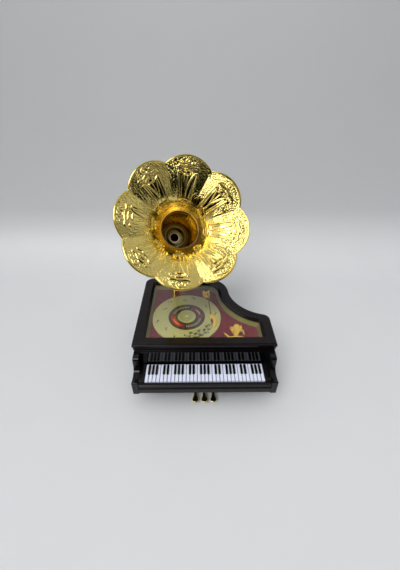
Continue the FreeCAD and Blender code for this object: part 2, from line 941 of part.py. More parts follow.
def make_tonearm_head():
    """The flat head, which bends to the right of the arm and ends in a slanted nose."""
    start, end = tonearm_line()
    bottom = end.z - head_thickness / 2
    x, y = end.x, end.y
    points = [
        (x - head_width * 0.2, y + 2.5),
        (x + head_width * 0.25, y + 2.5),
        (x + head_width, y - head_length * 0.2),
        (x + head_width, y - head_length * 0.6),
        (x + head_width * 0.55, y - head_length + 2.5),
        (x + head_width * 0.1, y - head_length * 0.75),
        (x - head_width * 0.2, y - head_length * 0.3),
    ]
    shape = prism([Vector(px, py, bottom) for px, py in points], UP * head_thickness)
    return shape.cut(rod(start, end, tonearm_tube_radius + press_gap))


def make_rose_ornament():
    """A flat-backed rose with its stem and leaf."""
    petals = [post(rose_x, rose_y, deck_top, deck_top + rose_height, rose_radius * 0.5)]
    for number in range(rose_petals):
        angle = 2 * math.pi * number / rose_petals
        x = rose_x + rose_radius * 0.55 * math.cos(angle)
        y = rose_y + rose_radius * 0.55 * math.sin(angle)
        petals.append(post(x, y, deck_top, deck_top + rose_height * 0.7, rose_radius * 0.45))
    stem_start = Vector(rose_x, rose_y, deck_top)
    stem_end = Vector(rose_x - rose_stem_along, rose_y - rose_stem_down, deck_top)
    side = UP.cross((stem_end - stem_start).normalize()) * (rose_stem_width / 2)
    corners = [stem_start - side, stem_end - side, stem_end + side, stem_start + side]
    stem = prism(corners, UP * rose_stem_height)
    leaf_middle = Vector(rose_x - rose_leaf_along, rose_y - rose_leaf_down, deck_top)
    reach = ALONG * (rose_leaf_length / 2)
    bulge = BACK * (rose_leaf_width / 2)
    leaf_side = arc(leaf_middle - reach, leaf_middle + bulge, leaf_middle + reach)
    leaf_other = arc(leaf_middle + reach, leaf_middle - bulge, leaf_middle - reach)
    leaf = Part.Face(Part.Wire([leaf_side, leaf_other])).extrude(UP * rose_leaf_height)
    return join(petals + [stem, leaf])


# Movement


def movement_screw_places():
    inset = 3.5
    places = []
    for u in (-bedplate_left + inset, bedplate_right - inset):
        for v in (-bedplate_front + inset, bedplate_back - inset):
            places.append((disc_x + u, disc_y + v))
    return places


def comb_screw_v():
    return comb_root_v - comb_base_depth / 2


def movement_block(u0, u1, v0, v1, z0, z1):
    return block(disc_x + u0, disc_x + u1, disc_y + v0, disc_y + v1, z0, z1)


def click_pivot():
    angle = math.radians(click_pivot_angle)
    return at(click_pivot_radius * math.cos(angle), click_pivot_radius * math.sin(angle), bedplate_top)


def make_movement_bedplate():
    """The cast bed, with its bridge posts, comb block, bearings and the click's pin."""
    bearing_top = train_z + bearing_head
    bearing_end = bearing_u + bearing_thickness
    plate_end = train_plate_u + train_plate_thickness
    cock_end = outer_cock_u + bearing_thickness
    half = bearing_half_width
    train_low = train_v - train_bearing_half
    train_high = train_v + train_bearing_half
    comb_left = cylinder_u - comb_block_margin
    comb_right = cylinder_u + cylinder_length + comb_block_margin
    comb_front = comb_root_v - comb_base_depth
    front, back = -bedplate_front, bedplate_back
    pin = click_pivot()
    shapes = [
        movement_block(-bedplate_left, bedplate_right, front, back, board_top, bedplate_top),
        movement_block(bearing_u, bearing_end, -half, half, board_top, bearing_top),
        movement_block(train_plate_u, plate_end, -half, train_high, board_top, bearing_top),
        movement_block(outer_cock_u, cock_end, train_low, train_high, board_top, bearing_top),
        movement_block(comb_left, comb_right, comb_front, comb_root_v, board_top, comb_bottom),
        post(pin.x, pin.y, board_top, ratchet_bottom + ratchet_thickness, click_pin_radius),
    ]
    for v in (-bridge_post_v, bridge_post_v):
        place = at(bridge_post_u, v)
        shapes.append(post(place.x, place.y, board_top, bridge_bottom, bridge_post_radius))
    shape = join(shapes)
    cylinder_start = at(bearing_u - 1, 0, train_z)
    cylinder_end = at(plate_end + 1, 0, train_z)
    train_start = at(train_plate_u - 1, train_v, train_z)
    train_end = at(cock_end + 1, train_v, train_z)
    governor = at(worm_u, worm_v)
    hole_depth = screw_grip + 2 * side_gap
    holes = [
        post(disc_x, disc_y, 0, bedplate_top, arbor_radius + running_gap),
        rod(cylinder_start, cylinder_end, cylinder_arbor_radius + running_gap),
        rod(train_start, train_end, train_arbor_radius + running_gap),
        post(governor.x, governor.y, bedplate_top - 1.2, bedplate_top, governor_radius + running_gap),
    ]
    for x, y in movement_screw_places():
        holes.append(post(x, y, 0, bedplate_top, screw_radius + screw_gap))
    for v in (-bridge_post_v, bridge_post_v):
        place = at(bridge_post_u, v)
        hole_bottom = bridge_bottom - hole_depth
        holes.append(post(place.x, place.y, hole_bottom, bridge_bottom, screw_radius + screw_gap))
    for u in comb_screw_u:
        place = at(u, comb_screw_v())
        holes.append(post(place.x, place.y, comb_bottom - hole_depth, comb_bottom, screw_radius + screw_gap))
    for hole in holes:
        shape = shape.cut(hole)
    return shape


def make_spring_barrel():
    """The drum for the mainspring, on a flange with crown teeth that stand up round it."""
    shapes = [
        post(disc_x, disc_y, flange_bottom, flange_top, flange_radius),
        post(disc_x, disc_y, flange_bottom, barrel_top, barrel_radius),
    ]
    pitch = 2 * math.pi * crown_radius / crown_teeth
    half_low = pitch * tooth_share * 0.62
    half_high = pitch * tooth_share * 0.3
    tip = crown_pitch_z + crown_module * 0.9
    inner = crown_radius - crown_face / 2
    for number in range(crown_teeth):
        angle = 2 * math.pi * number / crown_teeth
        radial = Vector(math.cos(angle), math.sin(angle), 0)
        side = UP.cross(radial)
        start = at(0, 0) + radial * inner
        points = [
            start - side * half_low + UP * (flange_top - 0.1),
            start + side * half_low + UP * (flange_top - 0.1),
            start + side * half_high + UP * tip,
            start - side * half_high + UP * tip,
        ]
        shapes.append(prism(points, radial * crown_face))
    shape = join(shapes)
    shape = shape.cut(post(disc_x, disc_y, flange_top, barrel_top, barrel_radius - barrel_wall))
    return shape.cut(post(disc_x, disc_y, 0, barrel_top, arbor_radius + running_gap))


def make_barrel_cap():
    cap = post(disc_x, disc_y, barrel_top, cap_top, barrel_radius)
    return cap.cut(post(disc_x, disc_y, 0, cap_top, arbor_radius + running_gap))


def make_mainspring():
    """A flat strip wound in half circles, each a little larger than the last."""
    step = spring_pitch / 2
    first = arbor_hub_radius + spring_strip + side_gap
    last = barrel_radius - barrel_wall - step - side_gap
    count = int((last - first) / step) + 1
    z0 = flange_top + 2 * side_gap
    z1 = barrel_top - 2 * side_gap

    def half_turn(number, inwards):
        radius = first + number * step - inwards
        centre = at(step * (number % 2), 0, z0)
        side = 1 if number % 2 == 0 else -1
        start = centre + ALONG * radius * side
        return arc(start, centre + BACK * radius * side, centre - ALONG * radius * side)

    outer = [half_turn(number, 0) for number in range(count)]
    inner = [half_turn(number, spring_strip) for number in range(count)]
    ends = [
        Part.makeLine(outer[-1].Vertexes[-1].Point, inner[-1].Vertexes[-1].Point),
        Part.makeLine(outer[0].Vertexes[0].Point, inner[0].Vertexes[0].Point),
    ]
    wire = Part.Wire(Part.__sortEdges__(outer + inner + ends))
    return Part.Face(wire).extrude(UP * (z1 - z0))


def make_turntable_spindle():
    flange = post(disc_x, disc_y, cap_top, cap_top + spindle_flange_thickness, spindle_flange_radius)
    return join([flange, post(disc_x, disc_y, cap_top, hub_top, spindle_radius)])


def make_barrel_bridge():
    """The yoke on two posts that steadies the turntable's spindle."""
    top = bridge_bottom + bridge_thickness
    centre = at(0, 0)
    shapes = [post(centre.x, centre.y, bridge_bottom, top, bridge_arm_width)]
    for v in (-bridge_post_v, bridge_post_v):
        end = at(bridge_post_u, v)
        shapes.append(post(end.x, end.y, bridge_bottom, top, bridge_post_radius + 0.3))
        direction = (end - centre).normalize()
        side = UP.cross(direction) * (bridge_arm_width / 2)
        start = centre + UP * bridge_bottom
        stop = end + UP * bridge_bottom
        corners = [start - side, start + side, stop + side, stop - side]
        shapes.append(prism(corners, UP * bridge_thickness))
    shape = join(shapes).cut(post(centre.x, centre.y, 0, top, spindle_radius + running_gap))
    for v in (-bridge_post_v, bridge_post_v):
        end = at(bridge_post_u, v)
        shape = shape.cut(post(end.x, end.y, 0, top, screw_radius + side_gap))
    return shape


def make_winding_arbor():
    return join([
        post(disc_x, disc_y, key_sleeve_bottom + key_web_overlap, cap_top - side_gap, arbor_radius),
        post(disc_x, disc_y, flange_top + side_gap, barrel_top - side_gap, arbor_hub_radius),
    ])


def make_ratchet_wheel():
    """Saw teeth that let the arbor turn one way only."""
    root = ratchet_radius - ratchet_depth
    points = []
    for number in range(ratchet_teeth):
        angle = math.radians(click_tip_angle + 2.0) + 2 * math.pi * number / ratchet_teeth
        for radius in (root, ratchet_radius):
            points.append(at(radius * math.cos(angle), radius * math.sin(angle), ratchet_bottom))
    bore = post(disc_x, disc_y, 0, flange_bottom, arbor_radius + press_gap)
    return prism(points, UP * ratchet_thickness).cut(bore)


def make_click():
    """The pawl: a lever from its pin to the notch that it rests in."""
    pivot = click_pivot()
    pivot.z = ratchet_bottom
    angle = math.radians(click_tip_angle)
    outwards = Vector(math.cos(angle), math.sin(angle), 0)
    tip = at(0, 0, ratchet_bottom) + outwards * (ratchet_radius - ratchet_depth + side_gap)
    heel = tip + outwards * click_width
    side = UP.cross((tip - pivot).normalize()) * click_boss_radius
    lever = prism([pivot + side * 0.2, tip, heel, pivot - side * 0.9], UP * ratchet_thickness)
    boss = post(pivot.x, pivot.y, ratchet_bottom, ratchet_bottom + ratchet_thickness, click_boss_radius)
    hole = post(pivot.x, pivot.y, 0, flange_bottom, click_pin_radius + running_gap)
    return join([lever, boss]).cut(hole)


def gear(teeth, module, start, face, bore, phase):
    """A spur gear whose axis runs along X from a point; phase is a tooth's angle from +Y."""
    radius = module * teeth / 2
    pitch_angle = 2 * math.pi / teeth
    half_low = pitch_angle * tooth_share * 0.62
    half_high = pitch_angle * tooth_share * 0.3
    root = radius - 1.15 * module
    tip = radius + 0.9 * module
    points = []
    for number in range(teeth):
        middle = phase + number * pitch_angle
        for reach, offset in ((root, -half_low), (tip, -half_high), (tip, half_high), (root, half_low)):
            angle = middle + offset
            points.append(start + BACK * reach * math.cos(angle) + UP * reach * math.sin(angle))
    shape = prism(points, ALONG * face)
    return shape.cut(rod(start - ALONG, start + ALONG * (face + 1), bore)) if bore else shape


def make_crown_pinion():
    """The pinion that the barrel's crown teeth drive, with a gap between its teeth at the bottom."""
    half_pitch = math.pi / crown_pinion_teeth
    start = at(crown_radius - pinion_face / 2, 0, train_z)
    bore = cylinder_arbor_radius + press_gap
    return gear(crown_pinion_teeth, crown_module, start, pinion_face, bore, half_pitch - math.pi / 2)


def make_cylinder_wheel():
    bore = cylinder_arbor_radius + press_gap
    return gear(cylinder_wheel_teeth, train_module, at(cylinder_wheel_u, 0, train_z), train_face, bore, 0)


def pin_angles(note):
    """The angles of one note's pins, spread by a rule and kept clear of the comb at rest."""
    places = 22
    first = math.radians(200)
    step = math.radians(320) / places
    slots = sorted({(note * 7 + number * 5 + note * note % 6) % places for number in range(pins_per_note)})
    return [first + step * (slot + 0.5) for slot in slots]


def make_pin_cylinder():
    """The pinned cylinder on its arbor."""
    start = at(cylinder_u, 0, train_z)
    arbor_start = at(barrel_radius + 0.6, 0, train_z)
    arbor_end = at(train_plate_u + train_plate_thickness, 0, train_z)
    shapes = [
        rod(start, start + ALONG * cylinder_length, cylinder_radius),
        rod(arbor_start, arbor_end, cylinder_arbor_radius),
    ]
    for note in range(note_count):
        middle = start + ALONG * (note + 0.5) * note_pitch
        for angle in pin_angles(note):
            radial = BACK * math.cos(angle) + UP * math.sin(angle)
            root = middle + radial * (cylinder_radius - pin_height)
            shapes.append(rod(root, middle + radial * (cylinder_radius + pin_height), pin_radius))
    return shapes[0].fuse(shapes[1:])


def make_comb():
    """The steel comb: a base and one tooth for each note."""
    left = cylinder_u
    right = left + cylinder_length
    back = comb_root_v - comb_base_depth
    z = train_z - comb_tooth_thickness / 2
    points = [(left, comb_root_v)]
    for note in range(note_count):
        start = left + note * note_pitch + comb_slit / 2
        end = left + (note + 1) * note_pitch - comb_slit / 2
        points += [(start, comb_root_v), (start, comb_tip_v), (end, comb_tip_v), (end, comb_root_v)]
    points += [(right, comb_root_v), (right, back), (left, back)]
    teeth = prism([at(u, v, z) for u, v in points], UP * comb_tooth_thickness)
    base = movement_block(left, right, back, comb_root_v, comb_bottom, comb_bottom + comb_base_thickness)
    shape = join([base, teeth])
    for u in comb_screw_u:
        place = at(u, comb_screw_v())
        shape = shape.cut(post(place.x, place.y, 0, bridge_bottom, screw_radius + side_gap))
    return shape


def make_train_arbor():
    """The pinion under the cylinder's wheel, cut on its arbor, with a gap facing the wheel."""
    half_pitch = math.pi / train_pinion_teeth
    start = at(cylinder_wheel_u, train_v, train_z)
    end = at(outer_cock_u + bearing_thickness, train_v, train_z)
    pinion = gear(train_pinion_teeth, train_module, start, train_face, 0, half_pitch + math.pi)
    return join([pinion, rod(start, end, train_arbor_radius)])


def make_worm_wheel():
    start = at(worm_wheel_u, train_v, train_z)
    return gear(worm_wheel_teeth, train_module, start, worm_wheel_face, train_arbor_radius + press_gap, 0)


def make_governor_worm():
    """The governor's shaft with its double thread, set so that the wheel's tooth lies between two turns."""
    axis = at(worm_u, worm_v)
    low = train_z - worm_length / 2
    core_radius = worm_radius - train_module * 0.9
    core = join([
        post(axis.x, axis.y, bedplate_top - 1.0, cock_top - 0.3, governor_radius),
        post(axis.x, axis.y, low - 0.4, low + worm_length + 0.4, core_radius),
    ])
    outer = worm_radius + train_module * 0.8
    half = worm_thread / 2
    towards_wheel = 270 - 360 * (train_z + worm_lead / 4 - low) / worm_lead
    threads = []
    for start in range(worm_starts):
        helix = Part.makeHelix(worm_lead, worm_length, core_radius)
        profile = Part.makePolygon([
            Vector(core_radius - 0.12, 0, -half),
            Vector(outer, 0, -half * 0.6),
            Vector(outer, 0, half * 0.6),
            Vector(core_radius - 0.12, 0, half),
            Vector(core_radius - 0.12, 0, -half),
        ])
        thread = Part.Wire(helix.Edges).makePipeShell([profile], True, True)
        thread.rotate(Vector(0, 0, 0), UP, towards_wheel + 360 * start / worm_starts)
        thread.translate(Vector(axis.x, axis.y, low))
        threads.append(thread)
    return join([core] + threads)


def make_governor_fan():
    """Two blades on a hub that brake the train in the air."""
    axis = at(worm_u, worm_v)
    half = fan_thickness / 2
    front = worm_v - fan_radius
    back = worm_v + fan_radius
    blades = movement_block(worm_u - half, worm_u + half, front, back, fan_bottom, fan_top)
    shape = join([blades, post(axis.x, axis.y, fan_bottom, fan_top, fan_hub_radius)])
    return shape.cut(post(axis.x, axis.y, 0, cock_top, governor_radius + press_gap))


def make_governor_cock():
    """The bracket that holds the governor's upper pivot."""
    half = cock_width / 2
    left = worm_u - half
    right = worm_u + half
    back = cock_v + cock_post
    axis = at(worm_u, worm_v)
    upright = movement_block(left, right, cock_v, back, bedplate_top, cock_top)
    arm = movement_block(left, right, worm_v - half, back, cock_top - cock_arm, cock_top)
    return join([upright, arm]).cut(post(axis.x, axis.y, 0, cock_top, governor_radius + running_gap))


def make_winding_key():
    """A butterfly key on its sleeve."""
    radius = key_wing_height / 2
    top = key_sleeve_bottom + key_web_overlap
    middle = top - radius
    half = key_wing_thickness / 2
    reach = radius * 0.6
    shapes = [
        post(disc_x, disc_y, key_sleeve_bottom, key_sleeve_top, key_sleeve_radius),
        block(disc_x - reach, disc_x + reach, disc_y - half, disc_y + half, middle - reach, top),
    ]
    for side in (-1, 1):
        centre = at(side * (key_wing_width / 2 - radius), -half, middle)
        wing = Part.makeCylinder(radius, key_wing_thickness, centre, BACK)
        shapes.append(wing)
    shape = join(shapes)
    for side in (-1, 1):
        centre = at(side * (key_wing_width / 2 - radius), -half - 1, middle)
        shape = shape.cut(Part.makeCylinder(key_wing_hole_radius, key_wing_thickness + 2, centre, BACK))
    bore_bottom = key_sleeve_bottom + key_web_overlap
    return shape.cut(post(disc_x, disc_y, bore_bottom, key_sleeve_top, arbor_radius + press_gap))


def make_stop_slider():
    """The plate on the bottom board, with the bent wire that reaches the fan and the neck of its knob."""
    plate_top = board_top + stop_plate_thickness
    finger_z = (fan_bottom + fan_top) / 2
    wire_foot = at(stop_wire_u, worm_v, board_top)
    wire_top = at(stop_wire_u, worm_v, finger_z)
    finger_end = at(stop_wire_u - stop_finger_reach, worm_v, finger_z)
    neck = at(stop_neck_u, worm_v)
    knob_top = body_bottom - stop_knob_gap
    return join([
        movement_block(
            stop_plate_u, stop_plate_u + stop_plate_length,
            worm_v - stop_plate_width / 2, worm_v + stop_plate_width / 2, board_top, plate_top
        ),
        rod(wire_foot, wire_top, stop_wire_radius),
        Part.makeSphere(stop_wire_radius, wire_top),
        rod(wire_top, finger_end, stop_wire_radius),
        post(neck.x, neck.y, knob_top - stop_knob_height * 0.6, board_top + 0.2, stop_neck_radius),
    ])


def make_stop_knob():
    neck = at(stop_neck_u, worm_v)
    top = body_bottom - stop_knob_gap
    knob = post(neck.x, neck.y, top - stop_knob_height, top, stop_knob_radius)
    bore_bottom = top - stop_knob_height * 0.6
    return knob.cut(post(neck.x, neck.y, bore_bottom, top, stop_neck_radius + press_gap))


# Horn


def petal_radius(tip, notch, angle):
    """The reach of a lobed outline at an angle from a petal's middle: round arcs that meet in notches."""
    inner = notch * math.cos(math.pi / petal_count)
    centre = (tip ** 2 - notch ** 2) / (2 * (tip - inner))
    radius = tip - centre
    return centre * math.cos(angle) + math.sqrt(radius ** 2 - (centre * math.sin(angle)) ** 2)


def horn_point(radius, angle, depth):
    """A point of the horn from its distance and angle round the axis and its depth behind the mouth."""
    across = horn_right * math.cos(angle) + horn_up * math.sin(angle)
    return mouth + across * radius - horn_out * depth


def bell_point(petal, across, share, wall):
    """A point of one petal: across from -1 to 1, share from 0 at the throat to 1 at the rim."""
    angle = across * math.pi / petal_count
    middle = math.radians(petal_phase) + 2 * math.pi * petal / petal_count
    flare = petal_tip_radius - bell_throat_radius
    behind = 1 - share
    depth = bell_depth * (bell_cone * behind + (1 - bell_cone) * behind ** bell_curve)
    slope = bell_depth * (bell_cone + (1 - bell_cone) * bell_curve * behind ** (bell_curve - 1)) / flare
    length = math.hypot(1, slope)
    crease = petal_crease * (1 - behind ** 2) * across ** 2
    outwards = wall * slope / length
    tip = bell_throat_radius + flare * share + outwards
    notch = bell_throat_radius + (petal_notch_radius - bell_throat_radius) * share + outwards
    return horn_point(petal_radius(tip, notch, angle), middle + angle, depth + crease + wall / length)


def petal_surface(petal, wall):
    across = [2 * column / (petal_columns - 1) - 1 for column in range(petal_columns)]
    rows = []
    for row in range(petal_rows):
        share = row / (petal_rows - 1)
        rows.append([bell_point(petal, place, share, wall) for place in across])
    surface = Part.BSplineSurface()
    surface.interpolate(rows)
    return surface


def make_horn_bell():
    """Eight petals that flare from the throat and meet in creases, as one closed skin."""
    faces = []
    for petal in range(petal_count):
        front = petal_surface(petal, 0)
        back = petal_surface(petal, horn_wall)
        faces += [front.toShape(), back.toShape()]
        for share in (0.0, 1.0):
            inner = front.uIso(front.bounds()[0] if share == 0.0 else front.bounds()[1])
            outer = back.uIso(back.bounds()[0] if share == 0.0 else back.bounds()[1])
            faces.append(Part.makeRuledSurface(inner.toShape(), outer.toShape()))
    shell = Part.makeShell(faces)
    shell.sewShape()
    return Part.makeSolid(shell.Shells[0] if shell.Shells else shell)


def funnel_curve_edge(front_radius, back_radius):
    """The curved flank of the funnel, from its straight front to its narrow end."""
    steps = 8
    points = []
    for step in range(steps + 1):
        share = step / steps
        radius = back_radius + (front_radius - back_radius) * (1 - share) ** funnel_curve
        depth = bell_depth + funnel_straight + (funnel_depth - bell_depth - funnel_straight) * share
        points.append(horn_point(radius, 0, depth))
    curve = Part.BSplineCurve()
    curve.interpolate(points)
    return curve.toShape()


def make_horn_funnel():
    """The funnel behind the petals; its front edge stands a little into the bell as a lip."""
    outer_front = bell_throat_radius - funnel_gap
    inner_front = outer_front - horn_wall
    inner_back = neck_radius + funnel_gap
    outer_back = inner_back + horn_wall
    front_depth = bell_depth - funnel_lip
    curve_depth = bell_depth + funnel_straight
    wire = Part.Wire(Part.__sortEdges__([
        Part.makeLine(horn_point(inner_front, 0, front_depth), horn_point(outer_front, 0, front_depth)),
        Part.makeLine(horn_point(outer_front, 0, front_depth), horn_point(outer_front, 0, curve_depth)),
        funnel_curve_edge(outer_front, outer_back),
        Part.makeLine(horn_point(outer_back, 0, funnel_depth), horn_point(inner_back, 0, funnel_depth)),
        funnel_curve_edge(inner_front, inner_back),
        Part.makeLine(horn_point(inner_front, 0, curve_depth), horn_point(inner_front, 0, front_depth)),
    ]))
    shape = Part.Face(wire).revolve(mouth, horn_out, 360)
    return shape if shape.Volume > 0 else shape.reversed()


def neck_path(front_depth, low_z):
    """The neck's middle line: straight out of the funnel, a bend, and straight down."""
    start = mouth - horn_out * front_depth
    down = (math.pi / 2 - horn_lean_angle) / 2
    halfway = horn_level * math.sin(horn_lean_angle + down) - UP * math.cos(horn_lean_angle + down)
    bend_middle = neck_bend_centre - halfway * neck_bend
    return Part.Wire([
        Part.makeLine(start, neck_bend_start),
        arc(neck_bend_start, bend_middle, neck_bend_end),
        Part.makeLine(neck_bend_end, Vector(neck_x, neck_y, low_z)),
    ])


def neck_pipe(radius, front_depth, low_z):
    path = neck_path(front_depth, low_z)
    section = Part.Wire(Part.makeCircle(radius, mouth - horn_out * front_depth, horn_out))
    return path.makePipeShell([section], True, True)


def make_horn_neck():
    """The bent neck: its ring behind the funnel, its collar on the socket and the spigot below."""
    front_depth = funnel_depth - neck_reach
    ring_start = mouth - horn_out * (funnel_depth + side_gap)
    collar_top = socket_top + neck_ring_height
    outer = join([
        neck_pipe(neck_radius, front_depth, socket_top),
        rod(ring_start, ring_start - horn_out * neck_ring_height, neck_ring_radius),
        post(neck_x, neck_y, socket_top, collar_top, neck_ring_radius),
        post(neck_x, neck_y, socket_top - spigot_length, socket_top + 1, spigot_radius),
    ])
    return outer.cut(neck_pipe(neck_bore, front_depth - 1, collar_top))


def make_horn_socket():
    """The bracket on the back of the rim, with the bore that the horn's spigot turns in."""
    bottom = socket_top - socket_height
    radius = spigot_radius + socket_wall
    plate_back = case_back + socket_plate_thickness
    middle = socket_top - socket_height / 2
    left = neck_x - socket_plate_width / 2
    right = neck_x + socket_plate_width / 2
    low = middle - socket_plate_height / 2
    high = middle + socket_plate_height / 2
    half_arm = socket_arm_width / 2
    plate = block(left, right, case_back, plate_back, low, high)
    left = neck_x - half_arm
    arm = block(left, neck_x + half_arm, case_back, neck_y, bottom + half_arm, socket_top - half_arm)
    shape = join([plate, arm, post(neck_x, neck_y, bottom, socket_top, radius)])
    bore_bottom = socket_top - spigot_length - 4 * side_gap
    shape = shape.cut(post(neck_x, neck_y, bore_bottom, socket_top, spigot_radius + running_gap))
    for x, z in socket_screw_places():
        shape = shape.cut(rod(Vector(x, case_back, z), Vector(x, plate_back, z), screw_radius + side_gap))
    return shape


def make_all():
    """Every piece by the name of its node."""
    pieces = {
        "case_rim": make_case_rim(),
        "bottom_board": make_bottom_board(),
        "left_arm": make_arm(-1),
        "right_arm": make_arm(1),
        "lid_frame": make_lid_frame(),
        "window_pane": make_window_pane(),
        "window_liner": make_window_liner(),
        "velvet_deck": make_velvet_deck(),
        "foot_pads": make_foot_pads(),
        "key_bed": make_key_bed(),
        "key_slip": make_key_slip(),
        "left_key_block": make_key_block(-1),
        "right_key_block": make_key_block(1),
        "white_keys": make_white_keys(),
        "black_keys": make_black_keys(),
        "fallboard": make_fallboard(),
        "pedal_lyre": make_pedal_lyre(),
        "left_pedal": make_pedal(-1),
        "middle_pedal": make_pedal(0),
        "right_pedal": make_pedal(1),
        "turntable_disc": make_turntable_disc(),
        "record_label": make_record_label(),
        "tonearm_base": make_tonearm_base(),
        "tonearm_tube": make_tonearm_tube(),
        "tonearm_head": make_tonearm_head(),
        "rose_ornament": make_rose_ornament(),
        "movement_bedplate": make_movement_bedplate(),
        "spring_barrel": make_spring_barrel(),
        "barrel_cap": make_barrel_cap(),
        "mainspring": make_mainspring(),
        "turntable_spindle": make_turntable_spindle(),
        "barrel_bridge": make_barrel_bridge(),
        "winding_arbor": make_winding_arbor(),
        "ratchet_wheel": make_ratchet_wheel(),
        "click": make_click(),
        "crown_pinion": make_crown_pinion(),
        "pin_cylinder": make_pin_cylinder(),
        "cylinder_wheel": make_cylinder_wheel(),
        "comb": make_comb(),
        "train_arbor": make_train_arbor(),
        "worm_wheel": make_worm_wheel(),
        "governor_worm": make_governor_worm(),
        "governor_fan": make_governor_fan(),
        "governor_cock": make_governor_cock(),
        "winding_key": make_winding_key(),
        "stop_slider": make_stop_slider(),
        "stop_knob": make_stop_knob(),
        "horn_bell": make_horn_bell(),
        "horn_funnel": make_horn_funnel(),
        "horn_neck": make_horn_neck(),
        "horn_socket": make_horn_socket(),
    }
    pieces.update(make_legs())
    pieces.update(make_screws())
    return pieces


def footprint_middle(pieces):
    """The middle of the whole object's box, seen from above."""
    box = Part.makeCompound(list(pieces.values())).optimalBoundingBox(True, False)
    return Vector((box.XMin + box.XMax) / 2, (box.YMin + box.YMax) / 2, 0)


pieces = make_all()
origin = footprint_middle(pieces)
os.makedirs("parts", exist_ok=True)
for name, piece in pieces.items():
    piece.translate(-origin)
    piece.exportStep("parts/" + name + ".step")
print("origin", round(origin.x, 3), round(origin.y, 3), "pieces", len(pieces))
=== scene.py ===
import math

import bmesh
import bpy
import numpy as np
from bpy.props import FloatProperty, FloatVectorProperty, IntProperty, PointerProperty
from mathutils import Matrix, Vector


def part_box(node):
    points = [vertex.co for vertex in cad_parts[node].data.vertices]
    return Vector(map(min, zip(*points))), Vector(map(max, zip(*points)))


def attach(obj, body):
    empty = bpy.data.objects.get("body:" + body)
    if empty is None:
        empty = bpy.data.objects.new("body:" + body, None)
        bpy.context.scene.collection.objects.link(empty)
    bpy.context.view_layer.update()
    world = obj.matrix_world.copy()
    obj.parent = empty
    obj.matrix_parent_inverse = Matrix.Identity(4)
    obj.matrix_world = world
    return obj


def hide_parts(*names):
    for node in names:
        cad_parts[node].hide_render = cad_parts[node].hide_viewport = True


bl_info = {
    "name": "Piano music box",
    "version": (1, 0, 0),
    "blender": (4, 5, 0),
    "location": "View3D > Sidebar > Music box",
    "description": "Finishes a small grand piano music box with a gramophone horn",
    "category": "Object",
}

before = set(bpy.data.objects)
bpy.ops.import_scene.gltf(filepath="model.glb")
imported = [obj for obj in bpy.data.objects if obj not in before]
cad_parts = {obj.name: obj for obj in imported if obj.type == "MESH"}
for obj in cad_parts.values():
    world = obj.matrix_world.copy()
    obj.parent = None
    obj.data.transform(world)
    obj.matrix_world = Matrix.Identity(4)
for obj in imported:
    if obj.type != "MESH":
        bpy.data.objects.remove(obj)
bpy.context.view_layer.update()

# Sizes in this file are millimetres, in the piano's own plan:
# X is 0 on its middle line, Y is 0 at the front of its arms and Z is 0 on the ground.
MM = 0.001
PLAN_X = (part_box("lid_frame")[0].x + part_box("lid_frame")[1].x) / 2
PLAN_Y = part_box("left_arm")[0].y
# Metres within which two points are one
MERGE = 2e-6
# Thickness of a layer of ink
INK = 0.04


def place(point):
    """A point of the piano's plan in millimetres, as a point of the frame in metres."""
    x, y, z = point
    return Vector((x * MM + PLAN_X, y * MM + PLAN_Y, z * MM))


def extent(node):
    """The lowest and the highest corner of a node in millimetres, in the piano's plan."""
    lowest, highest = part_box(node)
    return [Vector(((c.x - PLAN_X) / MM, (c.y - PLAN_Y) / MM, c.z / MM)) for c in (lowest, highest)]


def linear(code):
    """The linear colour of an sRGB hex code."""
    values = [int(code[i:i + 2], 16) / 255 for i in (0, 2, 4)]
    return [v / 12.92 if v <= 0.04045 else ((v + 0.055) / 1.055) ** 2.4 for v in values] + [1.0]


def colour(name, code, description):
    """A colour that a user can change."""
    return FloatVectorProperty(
        name=name, description=description, subtype="COLOR", size=4, min=0, max=1, default=linear(code)
    )


def size(name, millimetres, description):
    """A length that a user can change."""
    return FloatProperty(
        name=name, description=description, unit="LENGTH", min=0, default=millimetres * MM, precision=5
    )


# Settings that a user would change


class CaseSettings(bpy.types.PropertyGroup):
    lacquer: colour("Lacquer", "09090b", "Black lacquer of the case, the arms and the legs")
    lid_lacquer: colour("Lid lacquer", "100a0a", "Brown-black lacquer of the lid's frame")
    edge: size("Edge", 0.45, "How far the edges of the case are rounded")
    velvet: colour("Velvet", "600c17", "Pile of the deck under the window")
    liner: colour("Liner", "7c7430", "Satin gold of the slope round the deck")


class KeySettings(bpy.types.PropertyGroup):
    ivory: colour("White keys", "dadeee", "Moulded white of the long keys")
    ebony: colour("Black keys", "0a0a0c", "Gloss black of the short keys")
    edge: size("Edge", 0.22, "How far the edges of a key are rounded")
    slit: size("Slit", 0.75, "Space between two white keys")


class RecordSettings(bpy.types.PropertyGroup):
    cream: colour("Record", "9c9860", "Cream enamel of the turning record")
    label: colour("Label", "1c100e", "Dark brown paper of the label")
    accent: colour("Accent", "a02a1a", "Brightest red of the label")
    print_dark: colour("Dark print", "26251d", "Marks printed on the record")
    print_pale: colour("Pale print", "cfc8a6", "Marks printed on the label")
    marks: IntProperty(name="Marks", description="Notes printed round the record", default=12, min=1)


class HornSettings(bpy.types.PropertyGroup):
    gold: colour("Gold", "f7e186", "Bright gold plating")
    petals: IntProperty(name="Petals", description="Petals round the mouth", default=8, min=3)
    phase: FloatProperty(
        name="Phase", description="Turn of the petals round the axis", subtype="ANGLE",
        default=math.radians(75.2),
    )
    relief: size("Relief", 1.0, "Height of the stamped ornament")
    stipple: size("Stipple", 1.4, "Spacing of the grains of the stamped ground")


class StageSettings(bpy.types.PropertyGroup):
    floor: colour("Floor", "cfd0d2", "Pale floor and backdrop")
    lamp: FloatProperty(name="Lamp", description="Power of the soft lamp overhead", unit="POWER", default=1.2)


